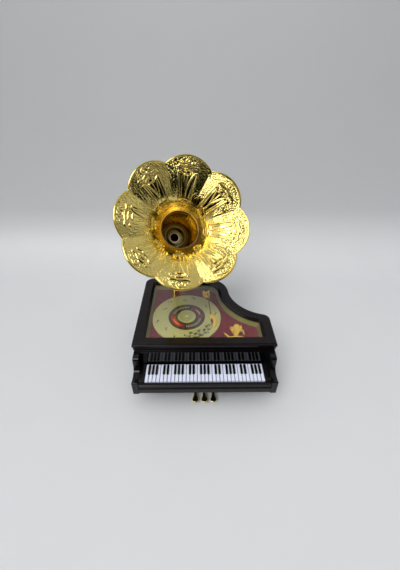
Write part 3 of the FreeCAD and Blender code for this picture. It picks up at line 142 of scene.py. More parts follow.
class MusicBoxSettings(bpy.types.PropertyGroup):
    case: PointerProperty(type=CaseSettings)
    keys: PointerProperty(type=KeySettings)
    record: PointerProperty(type=RecordSettings)
    horn: PointerProperty(type=HornSettings)
    stage: PointerProperty(type=StageSettings)


def settings():
    """The values that the panel shows."""
    return bpy.context.scene.music_box


# Making meshes


def add_mesh(name, points, faces, placed=True):
    """An object from points in the piano's plan, or in its own axes where they are placed later."""
    mesh = bpy.data.meshes.new(name)
    if placed:
        vertices = [place(point) for point in points]
    else:
        vertices = [Vector(point) * MM for point in points]
    mesh.from_pydata(vertices, [], faces)
    mesh.update()
    piece = bpy.data.objects.new(name, mesh)
    bpy.context.scene.collection.objects.link(piece)
    return piece


def loft(rings, around=True, closed=False):
    """Points and faces between rings of equally many points. Closed joins the last ring to the first."""
    count = len(rings[0])
    points = [point for ring in rings for point in ring]
    faces = []
    for row in range(len(rings) if closed else len(rings) - 1):
        start = row * count
        after = (row + 1) % len(rings) * count
        for column in range(count if around else count - 1):
            right = (column + 1) % count
            faces.append((start + column, start + right, after + right, after + column))
    return points, faces


def cleaned(piece):
    """Doubles merged and faces turned outwards."""
    form = bmesh.new()
    form.from_mesh(piece.data)
    bmesh.ops.remove_doubles(form, verts=form.verts, dist=MERGE)
    bmesh.ops.recalc_face_normals(form, faces=form.faces)
    form.to_mesh(piece.data)
    form.free()
    return piece


def baked(piece):
    """The piece with its modifiers made part of its mesh."""
    evaluated = piece.evaluated_get(bpy.context.evaluated_depsgraph_get())
    mesh = bpy.data.meshes.new_from_object(evaluated)
    piece.modifiers.clear()
    piece.data = mesh
    mesh.name = piece.name
    return piece


def smoothed(piece, angle=35):
    """Smooth shading with flat faces kept flat and edges sharper than the angle kept sharp."""
    piece.data.shade_smooth()
    piece.data.set_sharp_from_angle(angle=math.radians(angle))
    weigh = piece.modifiers.new("Weigh", "WEIGHTED_NORMAL")
    weigh.keep_sharp = True
    return baked(piece)


def soften(piece, width, segments=3):
    """The piece with its edges rounded by a width in metres."""
    bevel = piece.modifiers.new("Edges", "BEVEL")
    bevel.width = width
    bevel.segments = segments
    bevel.limit_method = "ANGLE"
    bevel.angle_limit = math.radians(30)
    return baked(piece)


def rounded(node, width):
    """A copy of a node with its edges rounded by a width in metres."""
    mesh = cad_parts[node].data.copy()
    mesh.materials.clear()
    piece = bpy.data.objects.new(f"{node}_finished", mesh)
    bpy.context.scene.collection.objects.link(piece)
    form = bmesh.new()
    form.from_mesh(mesh)
    bmesh.ops.remove_doubles(form, verts=form.verts, dist=MERGE / 2)
    bmesh.ops.dissolve_limit(form, angle_limit=math.radians(0.5), verts=form.verts, edges=form.edges)
    form.to_mesh(mesh)
    form.free()
    return smoothed(soften(piece, width), 30)


def lathe(name, profile, steps, placed=True, centre=(0, 0)):
    """A closed outline of radius and height, turned round an upright axis."""
    rings = []
    for step in range(steps):
        turn = 2 * math.pi * step / steps
        ring = [(centre[0] + r * math.cos(turn), centre[1] + r * math.sin(turn), z) for r, z in profile]
        rings.append(ring)
    points, faces = loft(rings, around=True, closed=True)
    return cleaned(add_mesh(name, points, faces, placed))


def prism(name, outlines, bottom, top, placed=True):
    """Flat outlines, each made a solid between two heights."""
    points, faces = [], []
    for outline in outlines:
        start, count = len(points), len(outline)
        points += [(x, y, z) for z in (bottom, top) for x, y in outline]
        faces.append(tuple(start + count - 1 - i for i in range(count)))
        faces.append(tuple(start + count + i for i in range(count)))
        for i in range(count):
            j = (i + 1) % count
            faces.append((start + i, start + j, start + count + j, start + count + i))
    return cleaned(add_mesh(name, points, faces, placed))


def pad(name, outlines, bottom, top, edge, segments=3):
    """Flat outlines made solid between two heights, with rounded edges."""
    return soften(prism(name, outlines, bottom, top), edge * MM, segments)


def corners(x0, y0, x1, y1):
    """The corners of a rectangle."""
    return [(x0, y0), (x1, y0), (x1, y1), (x0, y1)]


def rounded_outline(points, steps=6):
    """A smooth closed outline through some points."""
    outline = []
    for i in range(len(points)):
        a, b, c, d = (Vector(points[(i + k) % len(points)]) for k in (-1, 0, 1, 2))
        slope, bow, twist = c - a, 2 * a - 5 * b + 4 * c - d, 3 * b - a - 3 * c + d
        for step in range(steps):
            t = step / steps
            outline.append(tuple(b + (slope * t + bow * t ** 2 + twist * t ** 3) / 2))
    return outline


def tube(name, path, radii, sides=16):
    """A round bar along a path, with a radius at each of its points and closed ends."""
    rings = []
    spots = [Vector(point) for point in path]
    turns = [2 * math.pi * step / sides for step in range(sides)]
    for i, spot in enumerate(spots):
        along = (spots[min(i + 1, len(spots) - 1)] - spots[max(i - 1, 0)]).normalized()
        side = along.cross(Vector((0, 0, 1))).normalized()
        up = side.cross(along)
        rings.append([tuple(spot + (side * math.cos(t) + up * math.sin(t)) * radii[i]) for t in turns])
    points, faces = loft(rings)
    faces.append(tuple(reversed(range(sides))))
    faces.append(tuple(range(len(points) - sides, len(points))))
    return cleaned(add_mesh(name, points, faces))


def bend(start, middle, end, steps):
    """Points of a round bend from start to end, pulled towards a middle point."""
    points = []
    for step in range(steps + 1):
        t = step / steps
        points.append(tuple(
            (1 - t) ** 2 * a + 2 * t * (1 - t) * b + t ** 2 * c for a, b, c in zip(start, middle, end)
        ))
    return points


def corner(x, y, before, after, steps):
    """A rounded corner of a profile, from a step before the corner to a step after it."""
    start, end = (x + before[0], y + before[1]), (x + after[0], y + after[1])
    return bend(start, (x, y), end, steps)


def sector(name, inner, outer, start, end, bottom, top, steps=24):
    """A flat piece of a ring between two angles in degrees, about the upright axis."""
    rings = []
    for step in range(steps + 1):
        turn = math.radians(start + (end - start) * step / steps)
        c, s = math.cos(turn), math.sin(turn)
        rings.append([
            (inner * c, inner * s, bottom), (outer * c, outer * s, bottom),
            (outer * c, outer * s, top), (inner * c, inner * s, top),
        ])
    points, faces = loft(rings)
    if end - start < 360:
        last = len(points) - 4
        faces += [(0, 1, 2, 3), (last + 3, last + 2, last + 1, last)]
    return cleaned(add_mesh(name, points, faces, placed=False))


def joined(name, pieces):
    """Several pieces as one."""
    target = pieces[0]
    if len(pieces) > 1:
        with bpy.context.temp_override(active_object=target, selected_editable_objects=pieces):
            bpy.ops.object.join()
    target.name = name
    target.data.name = name
    return target


def finish_piece(piece, coat, slot, body, *nodes):
    """Gives a piece its finish, hides the nodes that it stands for and sets it on its body; the slot is not
    used.
    """
    piece.data.materials.clear()
    piece.data.materials.append(finish(coat))
    if nodes:
        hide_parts(*nodes)
    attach(piece, body)


def dress(coat, *nodes):
    """Gives a finish to nodes that stay."""
    for node in nodes:
        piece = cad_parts[node]
        piece.data.materials.clear()
        piece.data.materials.append(finish(coat))


# Geometry node trees


def add_node(tree, kind, values=None, links=None):
    """Adds a node to a tree, sets its options and inputs, and links its inputs to other outputs."""
    node = tree.nodes.new(kind)
    for name, value in (values or {}).items():
        if isinstance(name, str) and hasattr(node, name):
            setattr(node, name, value)
        else:
            node.inputs[name].default_value = value
    for name, output in (links or {}).items():
        tree.links.new(output, node.inputs[name])
    return node


def new_tree(name, inputs):
    """An empty tree of geometry nodes with named inputs, its input node and its output node."""
    tree = bpy.data.node_groups.new(name, "GeometryNodeTree")
    tree.interface.new_socket("Geometry", in_out="INPUT", socket_type="NodeSocketGeometry")
    for label, kind in inputs.items():
        tree.interface.new_socket(label, in_out="INPUT", socket_type=f"NodeSocket{kind}")
    tree.interface.new_socket("Geometry", in_out="OUTPUT", socket_type="NodeSocketGeometry")
    return tree, add_node(tree, "NodeGroupInput"), add_node(tree, "NodeGroupOutput")


def end_tree(tree, given, taken, instances, merge=None):
    """Makes the copies real, merges what meets and gives them their material."""
    real = add_node(tree, "GeometryNodeRealizeInstances", links={"Geometry": instances})
    if merge:
        real = add_node(
            tree, "GeometryNodeMergeByDistance", {"Distance": merge}, {"Geometry": real.outputs["Geometry"]}
        )
    painted = add_node(tree, "GeometryNodeSetMaterial", links={
        "Geometry": real.outputs["Geometry"], "Material": given.outputs["Material"],
    })
    tree.links.new(painted.outputs["Geometry"], taken.inputs["Geometry"])
    return tree


def ring_tree():
    """Copies of the piece round the upright axis, with a seeded scatter of their turns."""
    if "Ring of copies" in bpy.data.node_groups:
        return bpy.data.node_groups["Ring of copies"]
    tree, given, taken = new_tree("Ring of copies", {
        "Count": "Int", "Start": "Float", "Sweep": "Float", "Scatter": "Float", "Seed": "Int",
        "Material": "Material",
    })
    points = add_node(tree, "GeometryNodePoints", links={"Count": given.outputs["Count"]})
    index = add_node(tree, "GeometryNodeInputIndex")
    share = add_node(tree, "ShaderNodeMath", {"operation": "DIVIDE"}, {
        0: index.outputs["Index"], 1: given.outputs["Count"],
    })
    turn = add_node(tree, "ShaderNodeMath", {"operation": "MULTIPLY_ADD"}, {
        0: share.outputs[0], 1: given.outputs["Sweep"], 2: given.outputs["Start"],
    })
    least = add_node(
        tree, "ShaderNodeMath", {"operation": "MULTIPLY", 1: -1.0}, {0: given.outputs["Scatter"]}
    )
    chance = add_node(tree, "FunctionNodeRandomValue", links={
        "Min": least.outputs[0], "Max": given.outputs["Scatter"], "Seed": given.outputs["Seed"],
    })
    angle = add_node(
        tree, "ShaderNodeMath", {"operation": "ADD"}, {0: turn.outputs[0], 1: chance.outputs[1]}
    )
    rotation = add_node(tree, "ShaderNodeCombineXYZ", links={"Z": angle.outputs[0]})
    copies = add_node(tree, "GeometryNodeInstanceOnPoints", links={
        "Points": points.outputs["Points"], "Instance": given.outputs["Geometry"],
        "Rotation": rotation.outputs["Vector"],
    })
    return end_tree(tree, given, taken, copies.outputs["Instances"], merge=MERGE)


def row_tree():
    """Copies of the piece in a row along X."""
    tree, given, taken = new_tree("Row of copies", {"Count": "Int", "Step": "Float", "Material": "Material"})
    index = add_node(tree, "GeometryNodeInputIndex")
    along = add_node(tree, "ShaderNodeMath", {"operation": "MULTIPLY"}, {
        0: index.outputs["Index"], 1: given.outputs["Step"],
    })
    offset = add_node(tree, "ShaderNodeCombineXYZ", links={"X": along.outputs[0]})
    points = add_node(tree, "GeometryNodePoints", links={
        "Count": given.outputs["Count"], "Position": offset.outputs["Vector"],
    })
    copies = add_node(tree, "GeometryNodeInstanceOnPoints", links={
        "Points": points.outputs["Points"], "Instance": given.outputs["Geometry"],
    })
    return end_tree(tree, given, taken, copies.outputs["Instances"])


def scatter_tree():
    """Copies of another piece on the points of this one."""
    tree, given, taken = new_tree("Copies on points", {"Piece": "Object", "Material": "Material"})
    piece = add_node(tree, "GeometryNodeObjectInfo", links={"Object": given.outputs["Piece"]})
    copies = add_node(tree, "GeometryNodeInstanceOnPoints", links={
        "Points": given.outputs["Geometry"], "Instance": piece.outputs["Geometry"],
    })
    return end_tree(tree, given, taken, copies.outputs["Instances"])


def grown(piece, tree, coat, values):
    """The piece after a tree of geometry nodes, as a plain mesh."""
    modifier = piece.modifiers.new(tree.name, "NODES")
    modifier.node_group = tree
    values = {**values, "Material": finish(coat)}
    for item in tree.interface.items_tree:
        if item.item_type == "SOCKET" and item.in_out == "INPUT" and item.name in values:
            modifier[item.identifier] = values[item.name]
    piece.update_tag()
    return baked(piece)


# Materials

# Each finish gives its colour, as an sRGB code or the name of a setting, the shader's own values, and three
# patterns of noise with a spacing in millimetres and a detail: tone with its darkest and lightest share, wear
# with its least and most roughness, and relief with its depth in millimetres and its strength. A last value
# stretches the wear and the relief.
LACQUER = (
    {"IOR": 1.5, "Specular IOR Level": 0.28},
    (14.0, 2.0, 0.8, 1.35), (0.9, 4.0, 0.10, 0.22), (3.0, 2.0, 0.02, 1.0),
)
INK_COAT = ({"IOR": 1.48}, (2.0, 4.0, 0.82, 1.0), (0.6, 3.0, 0.42, 0.58), None)
METAL_TONE = ({"Metallic": 1.0}, (6.0, 3.0, 0.85, 1.0))
FINISHES = {
    # Sprayed gloss lacquer on moulded ABS: deep colour under a clear skin, with slight orange peel and dust
    "black gloss lacquer": ("case.lacquer", *LACQUER),
    "brown gloss lacquer": ("case.lid_lacquer", *LACQUER),
    # The same lacquer polished to a mirror, in which the keys show
    "polished black lacquer": (
        "050506", {"IOR": 1.5, "Specular IOR Level": 0.36},
        (14.0, 3.0, 0.8, 1.3), (1.5, 3.0, 0.02, 0.06), (9.0, 3.0, 0.008, 1.0),
    ),
    # Black ABS from an eroded mould: matt, with a fine even grain
    "moulded black ABS": (
        "151516", {"IOR": 1.53}, (9.0, 3.0, 0.85, 1.25), (0.35, 2.0, 0.42, 0.6), (0.35, 2.0, 0.05, 1.0),
    ),
    # Black ABS from a polished mould: glossy, with soft highlights
    "polished black ABS": (
        "keys.ebony", {"IOR": 1.53, "Specular IOR Level": 0.3},
        (6.0, 3.0, 0.8, 1.3), (1.0, 3.0, 0.15, 0.3), (1.5, 3.0, 0.01, 1.0),
    ),
    # White polished ABS with a cool tint, a little cloudy where it cooled
    "moulded white ABS": (
        "keys.ivory", {"IOR": 1.53}, (12.0, 3.0, 0.95, 1.0), (1.5, 3.0, 0.2, 0.32), (1.2, 3.0, 0.01, 1.0),
    ),
    # The same ABS painted darker, as painted shade deep between two keys
    "shaded white ABS": ("7f84a8", *INK_COAT),
    # Gold vacuum plating on moulded plastic: a warm mirror, slightly clouded
    "bright gold plating": ("horn.gold", {"Metallic": 1.0}, (11.0, 3.0, 0.94, 1.0), None, None),
    # Gold paint on a zinc casting: half mirror, half warm colour, a little uneven
    "gold-painted zinc": (
        "f0c74e", {"Metallic": 0.72}, (3.0, 3.0, 0.88, 1.0), (1.4, 3.0, 0.14, 0.26), (0.7, 3.0, 0.02, 1.0),
    ),
    # Plating drawn smooth, painted a dull greenish gold darker than the rest: a painted reflection of the
    # dark that the thin tube mirrors
    "bronze-coloured plating": ("8f8546", *METAL_TONE, (1.5, 3.0, 0.2, 0.3), (1.5, 3.0, 0.01, 1.0)),
    # Cast clear acrylic sheet: a faint mirror with a slow wave and light scuffs
    "clear cast acrylic": (
        "ffffff", {"IOR": 1.49, "Transmission Weight": 1.0}, None,
        (6.0, 4.0, 0.015, 0.06), (25.0, 1.0, 0.03, 1.0),
    ),
    # Gold foil on card, rolled satin: a broad soft shine with streaks along the roll
    "satin gold foil": (
        "case.liner", {"Metallic": 0.6},
        (7.0, 3.0, 0.86, 1.0), (0.8, 3.0, 0.38, 0.55), (0.8, 3.0, 0.02, 1.0), (1, 0.1, 1),
    ),
    # Cut rayon velvet: deep pile that is dark head-on and pale at a glance, with brushed patches
    "red cut velvet": (
        "case.velvet", {
            "Roughness": 0.95, "IOR": 1.45, "Specular IOR Level": 0.2, "Sheen Weight": 0.3,
            "Sheen Roughness": 0.35, "Sheen Tint": linear("d0505a"),
        }, (5.0, 4.0, 0.7, 1.0), None, (0.5, 2.0, 0.3, 0.8),
    ),
    # Pressed wool felt: quite matt, with short loose fibres
    "grey wool felt": (
        "2b2b2d", {
            "Roughness": 0.95, "Sheen Weight": 0.4, "Sheen Roughness": 0.5, "Sheen Tint": linear("9a9a9c"),
        }, (0.4, 4.0, 0.7, 1.3), None, (0.4, 4.0, 0.2, 1.0),
    ),
    # Sprayed cream enamel: half gloss, rubbed a little uneven
    "cream enamel": (
        "record.cream", {"IOR": 1.5}, (8.0, 4.0, 0.9, 1.0), (1.2, 3.0, 0.3, 0.45), (1.0, 3.0, 0.02, 1.0),
    ),
    # Near-white matt paint for the washer down the funnel, which also serves as a painted highlight ring
    "cream enamel edge": ("fff4d8", *INK_COAT),
    # Uncoated dark paper, and screen-printed inks: nearly matt, slightly uneven
    "dark label paper": ("record.label", *INK_COAT),
    "brown-red print": ("5e201c", *INK_COAT),
    "red print": ("record.accent", *INK_COAT),
    "orange print": ("f07a4a", *INK_COAT),
    "olive print": ("5d5a35", *INK_COAT),
    "pale print": ("record.print_pale", *INK_COAT),
    "dark print": ("record.print_dark", *INK_COAT),
    # Brass turned on a lathe: fine rings round the upright axis
    "turned brass": ("d8b25c", *METAL_TONE, (0.5, 3.0, 0.22, 0.4), (0.5, 3.0, 0.02, 1.0), (1, 1, 12)),
    # Steel ground flat: a satin grey with fine lines
    "ground steel": ("b9bcc2", *METAL_TONE, (0.5, 3.0, 0.25, 0.42), (0.5, 3.0, 0.02, 1.0), (12, 1, 1)),
    # Zinc left as it was cast: dull, with a coarse skin
    "cast zinc": ("8f9296", *METAL_TONE, (1.2, 3.0, 0.45, 0.65), (1.2, 3.0, 0.08, 1.0)),
    # Nickel plating on turned steel: a warm bright mirror
    "nickel-plated steel": ("cfcac0", *METAL_TONE, (2.0, 3.0, 0.14, 0.28), (2.0, 3.0, 0.01, 1.0)),
    # Satin white sheet for the floor and the backdrop: nearly matt
    "satin white sheet": (
        "stage.floor", {"Roughness": 0.5, "Specular IOR Level": 0.4}, (60.0, 2.0, 0.97, 1.0), None, None,
    ),
}
# Painted shade and painted reflection: a darker gold deep in the funnel, and a warmer gold in the throat that
# stands in for the amber of gold mirrored in gold there
FUNNEL_SHADE_GOLD = "cdb86a"
THROAT_REFLECTION_GOLD = "f5d470"
GOLD_ROUGHNESS = (0.09, 0.16)
THROAT_ROUGHNESS = 0.16
STIPPLE_DEPTH = 0.42
# Roughness is spread over the middle of the noise's range, where most of it lies
NOISE_RANGE = {"From Min": 0.3, "From Max": 0.7}


def new_material(name, source, values, tone, wear, relief, stretch=(1, 1, 1)):
    """A material of one Principled shader with up to three patterns, its tree and the shader."""
    base = list(settings().path_resolve(source)) if "." in source else linear(source)
    material = bpy.data.materials.new(name)
    material.use_nodes = True
    tree = material.node_tree
    tree.nodes.clear()
    where = add_node(tree, "ShaderNodeTexCoord")
    links = {}
    for use, pattern in (("Base Color", tone), ("Roughness", wear), ("Normal", relief)):
        if pattern is None:
            continue
        spacing, detail, first, last = pattern
        scaled = add_node(
            tree, "ShaderNodeMapping", {"Scale": (1, 1, 1) if use == "Base Color" else stretch},
            {"Vector": where.outputs["Object"]},
        )
        noise = add_node(
            tree, "ShaderNodeTexNoise", {"Scale": 1 / (spacing * MM), "Detail": detail},
            {"Vector": scaled.outputs["Vector"]},
        ).outputs["Fac"]
        if use == "Base Color":
            dark, light = ([value * share for value in base[:3]] + [1.0] for share in (first, last))
            mix = add_node(tree, "ShaderNodeMix", {"data_type": "RGBA", 6: dark, 7: light}, {0: noise})
            links[use] = mix.outputs[2]
        elif use == "Roughness":
            spread = add_node(
                tree, "ShaderNodeMapRange", {**NOISE_RANGE, "To Min": first, "To Max": last}, {"Value": noise}
            )
            links[use] = spread.outputs["Result"]
        else:
            bump = add_node(
                tree, "ShaderNodeBump", {"Distance": first * MM, "Strength": last}, {"Height": noise}
            )
            links[use] = bump.outputs["Normal"]
    shader = add_node(tree, "ShaderNodeBsdfPrincipled", {"Base Color": base, **values}, links)
    add_node(tree, "ShaderNodeOutputMaterial", links={"Surface": shader.outputs["BSDF"]})
    return material, tree, shader


def add_plating_marks(tree, shader):
    """Gold plating by the piece's attributes: painted shade deep in the funnel, a painted reflection in the
    throat, and grainy on the stippled ground.
    """
    thin, warm, stipple = (
        add_node(tree, "ShaderNodeAttribute", {"attribute_name": name}).outputs["Fac"]
        for name in ("thin", "warm", "stipple")
    )
    full = shader.inputs["Base Color"].links[0].from_socket
    # Painted shade in the funnel, then a painted reflection in the throat
    for share, code in ((thin, FUNNEL_SHADE_GOLD), (warm, THROAT_REFLECTION_GOLD)):
        mix = add_node(tree, "ShaderNodeMix", {"data_type": "RGBA", 7: linear(code)}, {0: share, 6: full})
        full = mix.outputs[2]
    tree.links.new(full, shader.inputs["Base Color"])
    least, most = GOLD_ROUGHNESS
    spread = add_node(tree, "ShaderNodeMapRange", {"To Min": least, "To Max": most}, {"Value": stipple})
    softer = add_node(
        tree, "ShaderNodeMath", {"operation": "MULTIPLY_ADD", 1: THROAT_ROUGHNESS},
        {0: warm, 2: spread.outputs["Result"]},
    )
    tree.links.new(softer.outputs[0], shader.inputs["Roughness"])
    where = add_node(tree, "ShaderNodeTexCoord")
    grains = add_node(
        tree, "ShaderNodeTexVoronoi", {"Scale": 1 / settings().horn.stipple},
        {"Vector": where.outputs["Object"]},
    )
    height = add_node(
        tree, "ShaderNodeMath", {"operation": "MULTIPLY"}, {0: grains.outputs["Distance"], 1: stipple}
    )
    bump = add_node(
        tree, "ShaderNodeBump", {"Distance": STIPPLE_DEPTH * MM, "Strength": 1.0},
        {"Height": height.outputs[0]},
    )
    tree.links.new(bump.outputs["Normal"], shader.inputs["Normal"])


def open_surface(tree, shader, share, tint):
    """Makes a surface clear, with a tint, where a share is 1."""
    clear = add_node(tree, "ShaderNodeBsdfTransparent", {"Color": linear(tint)})
    mix = add_node(tree, "ShaderNodeMixShader", links={
        0: share, 1: shader.outputs["BSDF"], 2: clear.outputs["BSDF"],
    })
    output = next(node for node in tree.nodes if node.type == "OUTPUT_MATERIAL")
    tree.links.new(mix.outputs["Shader"], output.inputs["Surface"])


def finish(name):
    """The material of a finish, made when it is first asked for."""
    if name in bpy.data.materials:
        return bpy.data.materials[name]
    material, tree, shader = new_material(name, *FINISHES[name])
    if name == "bright gold plating":
        add_plating_marks(tree, shader)
    elif name == "clear cast acrylic":
        # Lamps light the deck through the pane
        path = add_node(tree, "ShaderNodeLightPath")
        open_surface(tree, shader, path.outputs["Is Shadow Ray"], "f4f6f4")
    elif name == "satin white sheet":
        # The floor doesn't hide the piano from below
        side = add_node(tree, "ShaderNodeNewGeometry")
        open_surface(tree, shader, side.outputs["Backfacing"], "ffffff")
    return material


# The piano's plan

LID_LOW, LID_HIGH = extent("lid_frame")
LID_WIDTH = LID_HIGH.x - LID_LOW.x
LID_FRONT, TAIL_BACK, LID_TOP = LID_LOW.y, LID_HIGH.y, LID_HIGH.z
NOSE_RADIUS = 0.8
CHEEK_RADIUS = 8.0
BENT_RADIUS = 47.2
BENT_X = LID_WIDTH / 2 + 4.5
BENT_Y = TAIL_BACK - 26.0
TAIL_RADIUS = 30.0
CORNER_RADIUS = 10.0
LEAST_RADIUS = 2.0


def round_points(cx, cy, radius, start, end, steps):
    """Points along a circle from one angle to another."""
    turns = [start + (end - start) * step / steps for step in range(steps + 1)]
    return [(cx + radius * math.cos(turn), cy + radius * math.sin(turn)) for turn in turns]


def piano_outline(inset, front=None):
    """The piano's plan, drawn inwards from the lid's edge, always with as many points."""
    nose = NOSE_RADIUS
    front_y = LID_FRONT + (inset if front is None else front)
    side = LID_WIDTH / 2 - inset
    back = TAIL_BACK - inset
    hollow = BENT_RADIUS + inset
    cheek = max(CHEEK_RADIUS - inset / 2, LEAST_RADIUS)
    tail = TAIL_RADIUS - inset
    bass = max(CORNER_RADIUS - inset, LEAST_RADIUS)
    cheek_x = side - cheek
    cheek_y = BENT_Y - math.sqrt((hollow + cheek) ** 2 - (BENT_X - cheek_x) ** 2)
    tail_y = back - tail
    tail_x = BENT_X - math.sqrt((hollow + tail) ** 2 - (BENT_Y - tail_y) ** 2)
    cheek_angle = math.atan2(BENT_Y - cheek_y, BENT_X - cheek_x)
    tail_angle = math.atan2(BENT_Y - tail_y, BENT_X - tail_x)
    quarter = math.pi / 2
    points = round_points(-side + nose, front_y + nose, nose, 2 * quarter, 3 * quarter, 4)
    points += round_points(side - nose, front_y + nose, nose, 3 * quarter, 4 * quarter, 4)
    points += round_points(cheek_x, cheek_y, cheek, 0, cheek_angle, 10)
    points += round_points(BENT_X, BENT_Y, hollow, cheek_angle + math.pi, tail_angle + math.pi, 44)[1:]
    points += round_points(tail_x, tail_y, tail, tail_angle, quarter, 24)[1:]
    points += round_points(-side + bass, back - bass, bass, quarter, 2 * quarter, 12)
    return points


# Case

# Heights of the lid's mouldings, and how far each lies inside the lid's edge
TOP_BOARD_HEIGHT = 0.7
BEAD_HEIGHT = 3.1
GROOVE_HEIGHT = 0.6
MOULDING_HEIGHT = 7.8
WINDOW_TOP = 62.4
SOFT_EDGE = 0.35
BEAD_EDGE = 1.0
LOWER_INSET = 0.8
GROOVE_INSET = 1.5
TOP_BOARD_INSET = 1.8
BEVEL_INSET = 10.2
BEVEL_SET_BACK = 0.8
# The same at the window, at the sides and at the front
BEVEL_FOOT = (12.5, 11.0)
REBATE = (9.5, 6.0)
TONGUE = (6.1, 4.0)
# The rail under the lid's front edge, from its front to its back
LID_RAIL = (0.1, 4.0)
# The key slip's section, as steps back from its front and up from its foot, its middle and its top
SLIP_FOOT = ((0.4, 0), (0, 0.4))
SLIP_JOINT = ((0, -0.5), (0.15, -0.15), (0.5, 0))
SLIP_BEAD = ((0.9, -0.02), (0.9, 0.4), (0.55, 0.65), (0.55, 0.95), (0.9, 1.25), (1.0, 1.5))
SLIP_CROWN = ((1.0, -2.6), (0.65, -2.3), (0.65, -2.0), (1.0, -1.7), (1.0, -0.7), (1.3, -0.15), (1.8, 0))
SLIP_LAP = 0.02
# Share of the case's rounding that each lacquered node gets
LACQUERED = {
    "case_rim": 1.0, "left_arm": 1.2, "right_arm": 1.2, "left_key_block": 1.0, "right_key_block": 1.0,
    "front_left_leg": 0.9, "front_right_leg": 0.9, "rear_leg": 0.9, "pedal_lyre": 1.0,
}
FALLBOARD_SHARE = 0.6


def make_lid_frame():
    """The moulded frame: a lower moulding, a groove, a bead, a thin top board and a bevel to the window."""
    bead_top = LID_TOP - TOP_BOARD_HEIGHT
    bead_low = bead_top - BEAD_HEIGHT
    groove_low = bead_low - GROOVE_HEIGHT
    bottom = LID_TOP - MOULDING_HEIGHT
    tongue, soft, bead = LID_LOW.z, SOFT_EDGE, BEAD_EDGE
    outside = corner(LOWER_INSET, bottom, (soft, 0), (0, soft), 3)
    outside += corner(LOWER_INSET, groove_low, (0, -soft), (soft, 0), 3)
    outside += [(GROOVE_INSET, groove_low), (GROOVE_INSET, bead_low)]
    outside += corner(0, bead_low, (bead, 0), (0, bead), 5)
    outside += corner(0, bead_top, (0, -bead), (bead, 0), 5)
    outside += [(TOP_BOARD_INSET, bead_top)]
    outside += corner(TOP_BOARD_INSET, LID_TOP, (0, -soft), (soft, 0), 3)
    section = [(inset, None, z) for inset, z in outside]
    bevel = corner(BEVEL_INSET, LID_TOP, (-soft, 0), (0, -soft), 3)
    section += [(inset, inset + BEVEL_SET_BACK, z) for inset, z in bevel]
    section += [(*BEVEL_FOOT, WINDOW_TOP), (*REBATE, WINDOW_TOP), (*REBATE, tongue)]
    section += [(*TONGUE, tongue), (*TONGUE, bottom)]
    rings = [[(x, y, z) for x, y in piano_outline(inset, front)] for inset, front, z in section]
    points, faces = loft(rings, around=True, closed=True)
    lid = smoothed(cleaned(add_mesh("lid_frame_finished", points, faces)), 40)
    finish_piece(lid, "brown gloss lacquer", "brown_lacquer", "case", "lid_frame")
    arm = extent("key_slip")[1].x
    front, back = LID_RAIL
    rail = pad("lid_rail", [corners(-arm, LID_FRONT + front, arm, LID_FRONT + back)], tongue, bottom, 0.2)
    finish_piece(smoothed(rail), "brown gloss lacquer", "brown_lacquer", "case")


def make_key_slip():
    """The rail in front of the keys: a plain lower face, then a panel set back between fine beads."""
    lowest, highest = extent("key_slip")
    front, back, middle = lowest.y, highest.y, (lowest.z + highest.z) / 2
    foot, joint, bead, crown = (
        [(front + y, level + z) for y, z in steps] for level, steps in (
            (lowest.z, SLIP_FOOT), (middle, SLIP_JOINT), (middle, SLIP_BEAD), (highest.z, SLIP_CROWN),
        )
    )
    lower = [(back, lowest.z), *foot, *joint, (back, middle)]
    upper = [(back, middle - SLIP_LAP), *bead, *crown, (back, highest.z)]
    for name, section, coat, nodes in (
        ("key_slip_finished", lower, "black gloss lacquer", ["key_slip"]),
        ("key_slip_moulding", upper, "brown gloss lacquer", []),
    ):
        points, faces = loft([[(x, y, z) for y, z in section] for x in (lowest.x, highest.x)])
        count = len(section)
        faces += [tuple(reversed(range(count))), tuple(range(count, 2 * count))]
        piece = smoothed(cleaned(add_mesh(name, points, faces)), 40)
        finish_piece(piece, coat, "black_lacquer", "case", *nodes)


class MUSICBOX_OT_case(bpy.types.Operator):
    """Rounds and lacquers the case, the arms, the legs and the rails round the keys"""
    bl_idname = "music_box.case"
    bl_label = "Case"

    def execute(self, context):
        edge = settings().case.edge
        for node, share in LACQUERED.items():
            finish_piece(rounded(node, edge * share), "black gloss lacquer", "black_lacquer", "case", node)
        fallboard = rounded("fallboard", edge * FALLBOARD_SHARE)
        finish_piece(fallboard, "polished black lacquer", "black_lacquer", "case", "fallboard")
        make_key_slip()
        dress("moulded black ABS", "bottom_board", "key_bed")
        dress("grey wool felt", "foot_pads")
        return {"FINISHED"}


class MUSICBOX_OT_lid(bpy.types.Operator):
    """Makes the lid's frame, its window, the gold slope and the velvet deck"""
    bl_idname = "music_box.lid"
    bl_label = "Lid and window"

    def execute(self, context):
        make_lid_frame()
        dress("clear cast acrylic", "window_pane")
        dress("satin gold foil", "window_liner")
        dress("red cut velvet", "velvet_deck")
        return {"FINISHED"}


# Keyboard

WHITE_KEYS = 32
OCTAVE = 7
# White keys of an octave that have no black key on their left
GAPS = (0, 4)
WHITE_BACK = 1.6
WHITE_FOOT = 1.2
WHITE_TAPER = 0.04
WHITE_SLOPE = 0.05
STRIP_HEIGHT = 2.2
STRIP_SET_BACK = 0.3
BLACK_WIDTH = 2.6
BLACK_FRONT = 0.9
BLACK_BACK = 2.4
BLACK_TOP = 0.5
BLACK_TAPER = 0.12
BLACK_SLOPE = 0.5
BLACK_EDGE = 1.1


def key_mesh(name, width, front, back, bottom, top, taper, slope):
    """One key about X = 0, narrower at its top and with a sloping front."""
    half = width / 2
    crown = half - taper
    points = [
        (-half, front, bottom), (half, front, bottom), (half, back, bottom), (-half, back, bottom),
        (-crown, front + slope, top), (crown, front + slope, top), (crown, back, top), (-crown, back, top),
    ]
    faces = [(0, 3, 2, 1), (4, 5, 6, 7), (0, 1, 5, 4), (1, 2, 6, 5), (2, 3, 7, 6), (3, 0, 4, 7)]
    return cleaned(add_mesh(name, points, faces, placed=False))


